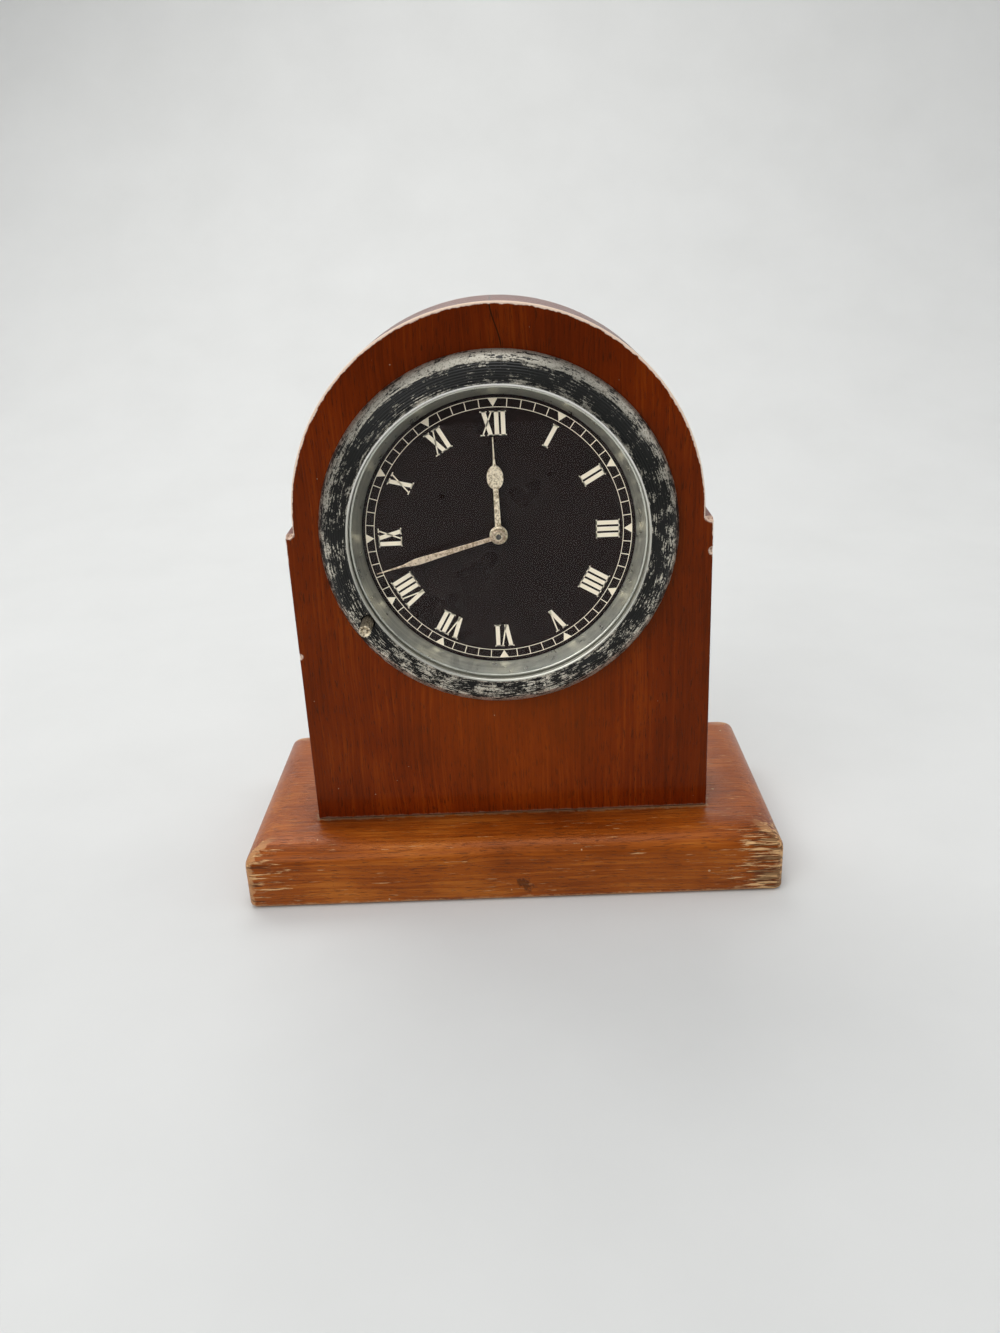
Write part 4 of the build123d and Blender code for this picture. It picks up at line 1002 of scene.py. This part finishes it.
# %% Dial plate
dial_low, dial_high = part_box("dial")
DIAL = (dial_high.x - dial_low.x) / 2
DIAL_FACE = WOOD_FRONT - dial_low.y
DIAL_HOLE = 1.85 * MM
DIAL_THICK = 0.6 * MM
plate = lathe(
    "dial_plate",
    [
        (DIAL_HOLE, DIAL_FACE - DIAL_THICK),
        (DIAL, DIAL_FACE - DIAL_THICK),
        (DIAL, DIAL_FACE - 0.1 * MM),
        (DIAL - 0.1 * MM, DIAL_FACE),
        (DIAL_HOLE, DIAL_FACE),
    ],
)
fit_out(plate, "case", "dial_black", dial_black, "dial")

# %% Letters
FIGURE_FOOT = 23.0 * MM
FIGURE_HEIGHT = 5.6 * MM
THICK, THIN, SERIF = 1.0 * MM, 0.32 * MM, 0.26 * MM
PRINT = 0.03 * MM
INK = PRINT * 0.9


def stroke(middle, foot, width, height, lean=0.0):
    """Flat stroke with its foot at a height, its top pushed sideways by the lean."""
    bpy.ops.mesh.primitive_plane_add(size=1)
    piece = bpy.context.object
    mode("EDIT")
    bpy.ops.transform.resize(value=(width, height, 1), center_override=(0, 0, 0))
    bpy.ops.transform.translate(value=(middle - lean / 2, foot + height / 2, 0))
    pick(piece, "VERT", lambda vertex: vertex.co.y > foot + height / 2)
    bpy.ops.transform.translate(value=(lean, 0, 0))
    mode("OBJECT")
    return piece


def serif(middle, foot, width):
    """Thin line across the end of a stroke."""
    return stroke(middle, foot, width, SERIF)


TOP = FIGURE_HEIGHT - SERIF
one = [stroke(0, 0, THICK, FIGURE_HEIGHT), serif(0, 0, 1.5 * MM), serif(0, TOP, 1.5 * MM)]
five = [stroke(-0.55 * MM, 0, THICK, FIGURE_HEIGHT, -1.1 * MM)]
five += [stroke(0.52 * MM, 0, THIN, FIGURE_HEIGHT, 1.05 * MM)]
five += [serif(-1.1 * MM, TOP, 1.5 * MM), serif(1.05 * MM, TOP, 0.9 * MM)]
ten = [stroke(0, 0, THICK, FIGURE_HEIGHT, -1.6 * MM), stroke(0, 0, THIN, FIGURE_HEIGHT, 2.2 * MM)]
ten += [serif(-0.8 * MM, TOP, 1.6 * MM), serif(1.1 * MM, TOP, 1.0 * MM)]
ten += [serif(0.8 * MM, 0, 1.6 * MM), serif(-1.1 * MM, 0, 1.0 * MM)]
letters = {"I": joined("letter_one", one), "V": joined("letter_five", five), "X": joined("letter_ten", ten)}
ADVANCE = {"I": 1.5 * MM, "V": 2.7 * MM, "X": 2.85 * MM}
print("letters:", list(letters))

# %% Numerals
NUMERALS = ["XII", "I", "II", "III", "IIII", "V", "VI", "VII", "VIII", "IX", "X", "XI"]
upright = Matrix.Translation(spot(0, DIAL_FACE + PRINT)) @ Matrix.Rotation(pi / 2, 4, "X")
figures = []
for hour, numeral in enumerate(NUMERALS):
    across = -sum(ADVANCE[letter] for letter in numeral) / 2
    for letter in numeral:
        across += ADVANCE[letter] / 2
        turn = Matrix.Rotation(-2 * pi * hour / 12, 4, "Z")
        shift = Matrix.Translation((across, FIGURE_FOOT, 0))
        figures.append(copied(letters[letter], upright @ turn @ shift))
        across += ADVANCE[letter] / 2
for letter in letters.values():
    bpy.data.objects.remove(letter)
numerals = joined("hour_numerals", figures)
apply_modifier(numerals, "SOLIDIFY", thickness=INK)
fit_out(numerals, "case", "dial_black", print_cream)

# %% Minute track
TRACK_OUTER, TRACK_INNER, LINE = 31.5 * MM, 29.5 * MM, 0.14 * MM
TICK = 0.19 * MM
TRIANGLE, TRIANGLE_GAP = 2.3 * MM, 0.1 * MM


def print_ring(radius):
    """Fine printed circle."""
    bpy.ops.mesh.primitive_circle_add(vertices=240, radius=radius - LINE / 2)
    mode("EDIT")
    bpy.ops.mesh.select_all(action="SELECT")
    bpy.ops.mesh.extrude_edges_move()
    growth = (radius + LINE / 2) / (radius - LINE / 2)
    bpy.ops.transform.resize(value=(growth, growth, 1), center_override=(0, 0, 0))
    mode("OBJECT")
    return bpy.context.object


tick = stroke(0, TRACK_INNER, TICK, TRACK_OUTER - TRACK_INNER)
triangle = stroke(0, TRACK_INNER + TRIANGLE_GAP, TRIANGLE, TRACK_OUTER - TRACK_INNER - TRIANGLE_GAP)
mode("EDIT")
pick(triangle, "VERT", lambda vertex: vertex.co.y < (TRACK_OUTER + TRACK_INNER) / 2)
bpy.ops.mesh.merge(type="CENTER")
mode("OBJECT")
track = [print_ring(TRACK_OUTER), print_ring(TRACK_INNER)]
for minute in range(60):
    mark = tick if minute % 5 else triangle
    track.append(copied(mark, Matrix.Rotation(-2 * pi * minute / 60, 4, "Z")))
for mark in (tick, triangle):
    bpy.data.objects.remove(mark)
minute_track = joined("minute_track", track)
minute_track.data.transform(upright)
apply_modifier(minute_track, "SOLIDIFY", thickness=INK)
fit_out(minute_track, "case", "dial_black", print_cream)

# %% [markdown]
# ## Hands
# Both hands were stamped from thin sheet and eased at the edges. A hand is drawn as the widths of its outline
# at a few reaches, filled, extruded to the sheet's thickness and bevelled. The hour hand swells into an egg-
# shaped bulb, and the minute hand is a long lance.

# %% Hands
HAND_EASE = 0.1 * MM


def hand_blade(name, widths, height, thickness, angle):
    """Flat blade from its half widths at each reach, at a height, turned clockwise from the top."""
    right = [Vector((half, reach, 0)) for reach, half in widths]
    left = [Vector((-half, reach, 0)) for reach, half in reversed(widths)]
    piece = start_vertex(name, right[0])
    draw_chain(right + left + right[:1])
    fill_and_extrude((0, 0, thickness))
    stand = Matrix.Translation(spot(0, height)) @ Matrix.Rotation(pi / 2, 4, "X")
    piece.data.transform(stand @ Matrix.Rotation(-radians(angle), 4, "Z"))
    apply_modifier(piece, "BEVEL", width=HAND_EASE, segments=2, limit_method="ANGLE", angle_limit=radians(50))
    return piece


def hand_span(node):
    """Height of the back of a hand's blade and its thickness, from the hand's box."""
    low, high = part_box(node)
    boss = high.y - low.y
    return WOOD_FRONT - high.y + boss / 4, boss / 2


def hand_boss(name, pipe, outer, ease, height, thickness, mouth):
    """Round boss of a hand, with the last points of its profile, at the mouth of the hole, given."""
    foot, top = height - thickness / 2, height + 1.5 * thickness
    profile = [(pipe, foot), (outer, foot), (outer, height + thickness), (outer - ease, top)]
    return lathe(name, profile + mouth, steps=64)


HOUR_LENGTH, HOUR_BULB, HOUR_ANGLE = 23.0 * MM, 13.6 * MM, -0.9
MINUTE_ANGLE = 255.0
BULB, BULB_BELOW, BULB_ABOVE, BULB_STEPS = 1.92 * MM, 2.65 * MM, 2.95 * MM, 12
STEM_HALF, STEM_TAPER = 0.57 * MM, 0.012
NEEDLE_HALF, FLARE, FLARE_START, FLARE_RUN = 0.13 * MM, 0.36 * MM, 2.4 * MM, 1.5 * MM
HOUR_PIPE, MINUTE_PIPE = 1.57 * MM, 1.02 * MM
HOUR_BOSS, MINUTE_BOSS = 2.15 * MM, 1.6 * MM
LANCE = (
    (0.9, 0.48), (8, 0.52), (14, 0.66), (19.0, 0.82), (20.6, 0.80),
    (22.2, 0.55), (23.6, 0.27), (26, 0.19), (30.3, 0.10),
)


def hour_half(reach):
    """Half the hour hand's width: a stem, an egg-shaped bulb and a needle that flares from it."""
    beyond = reach - HOUR_BULB
    bulb = BULB * max(1 - (beyond / (BULB_BELOW if beyond < 0 else BULB_ABOVE)) ** 2, 0) ** 0.5
    if beyond < 0:
        return max(STEM_HALF - STEM_TAPER * beyond, bulb)
    return max(NEEDLE_HALF + FLARE * exp(-max(beyond - FLARE_START, 0) / FLARE_RUN), bulb)


below = [HOUR_BULB - BULB_BELOW * cos(pi / 2 * k / BULB_STEPS) for k in range(BULB_STEPS)]
above = [HOUR_BULB + BULB_ABOVE * sin(pi / 2 * k / BULB_STEPS) for k in range(BULB_STEPS + 1)]
needle = [HOUR_BULB + BULB_ABOVE + k * 0.5 * MM for k in range(1, 8)]
reaches = [1.0 * MM, 6 * MM] + below + above + needle + [HOUR_LENGTH]
height, thickness = hand_span("hour_hand")
widths = [(reach, hour_half(reach)) for reach in reaches]
blade = hand_blade("hour_blade", widths, height, thickness, HOUR_ANGLE)
mouth = [(HOUR_PIPE, height + 1.5 * thickness)]
boss = hand_boss("hour_boss", HOUR_PIPE, HOUR_BOSS, 0.25 * MM, height, thickness, mouth)
hour_hand = joined("hour_hand_bulb", [blade, boss])
fit_out(hour_hand, "hour", "hand_metal", hour_metal, "hour_hand")

height, thickness = hand_span("minute_hand")
widths = [(reach * MM, half * MM) for reach, half in LANCE]
blade = hand_blade("minute_blade", widths, height, thickness, MINUTE_ANGLE)
mouth = [(MINUTE_PIPE + 0.15 * MM, height + 1.5 * thickness), (MINUTE_PIPE, height + thickness)]
boss = hand_boss("minute_boss", MINUTE_PIPE, MINUTE_BOSS, 0.2 * MM, height, thickness, mouth)
minute_hand = joined("minute_hand_lance", [blade, boss])
fit_out(minute_hand, "minute", "hand_metal", minute_metal, "minute_hand")

# %% [markdown]
# ## Setting plunger
# A ridged brass button stands out of the rim and is pressed to set the hands. It starts as a plain cylinder.
# Two corners in every four are drawn in towards its axis, which leaves straight ridges, then the front end is
# dished and the stem is drawn out of the back.

# %% Setting plunger
RIDGE_SIDES = 56
RIDGE_DEPTH = 0.13 * MM
STEM, STEM_LENGTH = 0.75 * MM, 1.5 * MM
HEAD_BACK = plunger_high.y - STEM_LENGTH
DISHED = ((0.80, 0.0), (0.80, 0.20 * MM), (0.55, 0.38 * MM))

head_place = (PLUNGER.x, (HEAD_BACK + plunger_low.y) / 2, PLUNGER.z)
plunger = cylinder("setting_button", PLUNGER_HEAD, head_place, HEAD_BACK - plunger_low.y, RIDGE_SIDES)
bpy.ops.object.transform_apply(location=True, rotation=True, scale=True)
mode("EDIT")


def in_groove(vertex):
    """Whether a corner of the cylinder lies in a groove."""
    arm = vertex.co - PLUNGER
    return round(RIDGE_SIDES * (atan2(arm.z, arm.x) + pi) / (2 * pi)) % 4 > 1


def draw_in(growth, travel=0.0):
    """Extrude the picked end along the button's axis and shrink it towards the axis."""
    extrude((0, travel, 0))
    bpy.ops.transform.resize(value=(growth, 1, growth), center_override=PLUNGER)


pick(plunger, "VERT", in_groove)
groove = 1 - RIDGE_DEPTH / PLUNGER_HEAD
bpy.ops.transform.resize(value=(groove, 1, groove), center_override=PLUNGER)
pick(plunger, "FACE", lambda face: face.normal.y < -0.9)
for growth, travel in DISHED:
    draw_in(growth, travel)
pick(
    plunger,
    "FACE",
    lambda face: face.normal.y > 0.9 and face.calc_center_median().y > HEAD_BACK - 0.1 * MM,
)
draw_in(STEM / PLUNGER_HEAD)
draw_in(1.0, STEM_LENGTH)
close_up(25.0)
fit_out(plunger, "plunger", "plunger_brass", plunger_brass, "setting_plunger")

# %% [markdown]
# ## Back cap and screws
# From behind one sees the drum's pressed cap and the three screws that hold the movement, and underneath the
# two screws that hold body and plinth together. A screw is turned, then slotted. One tool of the same
# outline, a little larger, drills both woods.

# %% Back cap
cap_low, cap_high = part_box("back_cap")
CAP = (cap_high.x - cap_low.x) / 2
CAP_BACK = WOOD_FRONT - cap_high.y
CAP_SEAT = CAP_BACK + 1.0 * MM
SPIGOT, SPIGOT_END = CAP - 0.85 * MM, WOOD_FRONT - cap_low.y
SPIGOT_WALL = 0.8 * MM
DISH, DISH_DEPTH = 27.0 * MM, 0.3 * MM
cap = lathe(
    "pressed_cap",
    [
        (AXLE, CAP_BACK + DISH_DEPTH),
        (DISH, CAP_BACK + DISH_DEPTH),
        (DISH + DISH_DEPTH, CAP_BACK),
        (CAP - 0.6 * MM, CAP_BACK),
        (CAP - 0.18 * MM, CAP_BACK + 0.18 * MM),
        (CAP, CAP_BACK + 0.6 * MM),
        (CAP, CAP_SEAT),
        (SPIGOT, CAP_SEAT),
        (SPIGOT, SPIGOT_END),
        (SPIGOT - SPIGOT_WALL, SPIGOT_END),
        (SPIGOT - SPIGOT_WALL, CAP_SEAT),
        (AXLE, CAP_SEAT),
    ],
    smooth=50.0,
)
fit_out(cap, "case", "drum_metal", drum_metal, "back_cap")

# %% Screws
SLOT, SLOT_DEPTH = 0.38 * MM, 0.45 * MM


def slotted_screw(name, profile, head):
    """Screw turned on the clock's axis with its head to the back at height nought, and slotted."""
    screw = lathe(name, profile, steps=48)
    slot_size = (3 * head, 2 * SLOT_DEPTH, SLOT)
    bpy.ops.mesh.primitive_cube_add(size=1, location=spot(0, profile[0][1]), scale=slot_size)
    cut_with(screw, bpy.context.object)
    return screw


def placed(piece, place, turn):
    """Copy of a piece from the clock's axis at another place and turn."""
    return copied(piece, Matrix.Translation(place) @ turn @ Matrix.Translation(-AXIS))


screws_low, screws_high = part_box("movement_screws")
HEAD, SHANK = 1.6 * MM, 0.8 * MM
HEAD_HEIGHT = screws_high.y - cap_high.y
SCREW_LENGTH = cap_high.y - screws_low.y
SCREW_CIRCLE = -screws_low.x - HEAD
HEAD_EASE = 0.3 * MM
BEARINGS_AND_SLOTS = ((60, 15), (180, 70), (300, -40))
outline = [(AXLE, -HEAD_HEIGHT), (HEAD - HEAD_EASE, -HEAD_HEIGHT), (HEAD, HEAD_EASE - HEAD_HEIGHT)]
outline += [(HEAD, 0), (SHANK, 0), (SHANK, SCREW_LENGTH), (AXLE, SCREW_LENGTH)]
pattern = slotted_screw("movement_screw", outline, HEAD)
screws = []
for bearing, slot in BEARINGS_AND_SLOTS:
    place = spot(SCREW_CIRCLE, CAP_BACK, bearing)
    screws.append(placed(pattern, place, Matrix.Rotation(radians(slot), 4, "Y")))
bpy.data.objects.remove(pattern)
fit_out(joined("slotted_screws", screws), "case", "movement_steel", works_steel, "movement_screws")

wood_low, wood_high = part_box("base_screws")
WOOD_HEAD, WOOD_SHANK, WOOD_LENGTH = 3.4 * MM, 1.6 * MM, wood_high.z - wood_low.z
TAPER = WOOD_HEAD - WOOD_SHANK
outline = [(AXLE, 0), (WOOD_HEAD, 0), (WOOD_SHANK, TAPER), (WOOD_SHANK, WOOD_LENGTH), (AXLE, WOOD_LENGTH)]
pattern = slotted_screw("wood_screw", outline, WOOD_HEAD)
FREE, BELOW_FOOT = 0.15 * MM, -5 * MM
outline = [(AXLE, BELOW_FOOT), (WOOD_HEAD + FREE, BELOW_FOOT), (WOOD_HEAD + FREE, 0)]
outline += [(WOOD_SHANK + FREE, TAPER), (WOOD_SHANK + FREE, WOOD_LENGTH + FREE), (AXLE, WOOD_LENGTH + FREE)]
drill = lathe("drill", outline, steps=48)
upward = Matrix.Rotation(-pi / 2, 4, "X")
screws = []
for side in (-1, 1):
    place = Vector((side * (wood_high.x - WOOD_HEAD), (wood_low.y + wood_high.y) / 2, wood_low.z))
    screws.append(placed(pattern, place, upward))
    for wood in (plinth, body):
        cut_with(wood, placed(drill, place, upward))
bpy.data.objects.remove(pattern)
bpy.data.objects.remove(drill)
fit_out(joined("wood_screws", screws), "case", "movement_steel", works_steel, "base_screws")

# %% [markdown]
# ## Finishes of the hidden works
# What lies inside the drum keeps its CAD shape, because the shape is right. It gets brass and steel with a
# little tarnish, so that the works look like works wherever the drum is opened.

# %% Works
SLOT_FINISH = {"movement_steel": works_steel, "drum_metal": drum_metal}
NODE_FINISH = {"centre_arbor": dark_steel, "cannon_pinion": hour_metal}
replaced = {"base_plinth", "case_body", "rim", "glass", "sight_ring", "dial", "hour_hand", "minute_hand"}
replaced |= {"setting_plunger", "back_cap", "movement_screws", "base_screws"}
for row in frame["record"]["subparts"]:
    if row["node"] in replaced:
        continue
    finish = SLOT_FINISH.get(row["material_slot"], works_brass)
    finish = NODE_FINISH.get(row["node"], finish)
    node = frame["nodes"][row["node"]]
    node.data.materials.clear()
    node.data.materials.append(finish)
print("works finished:", len(frame["nodes"]) - len(replaced))
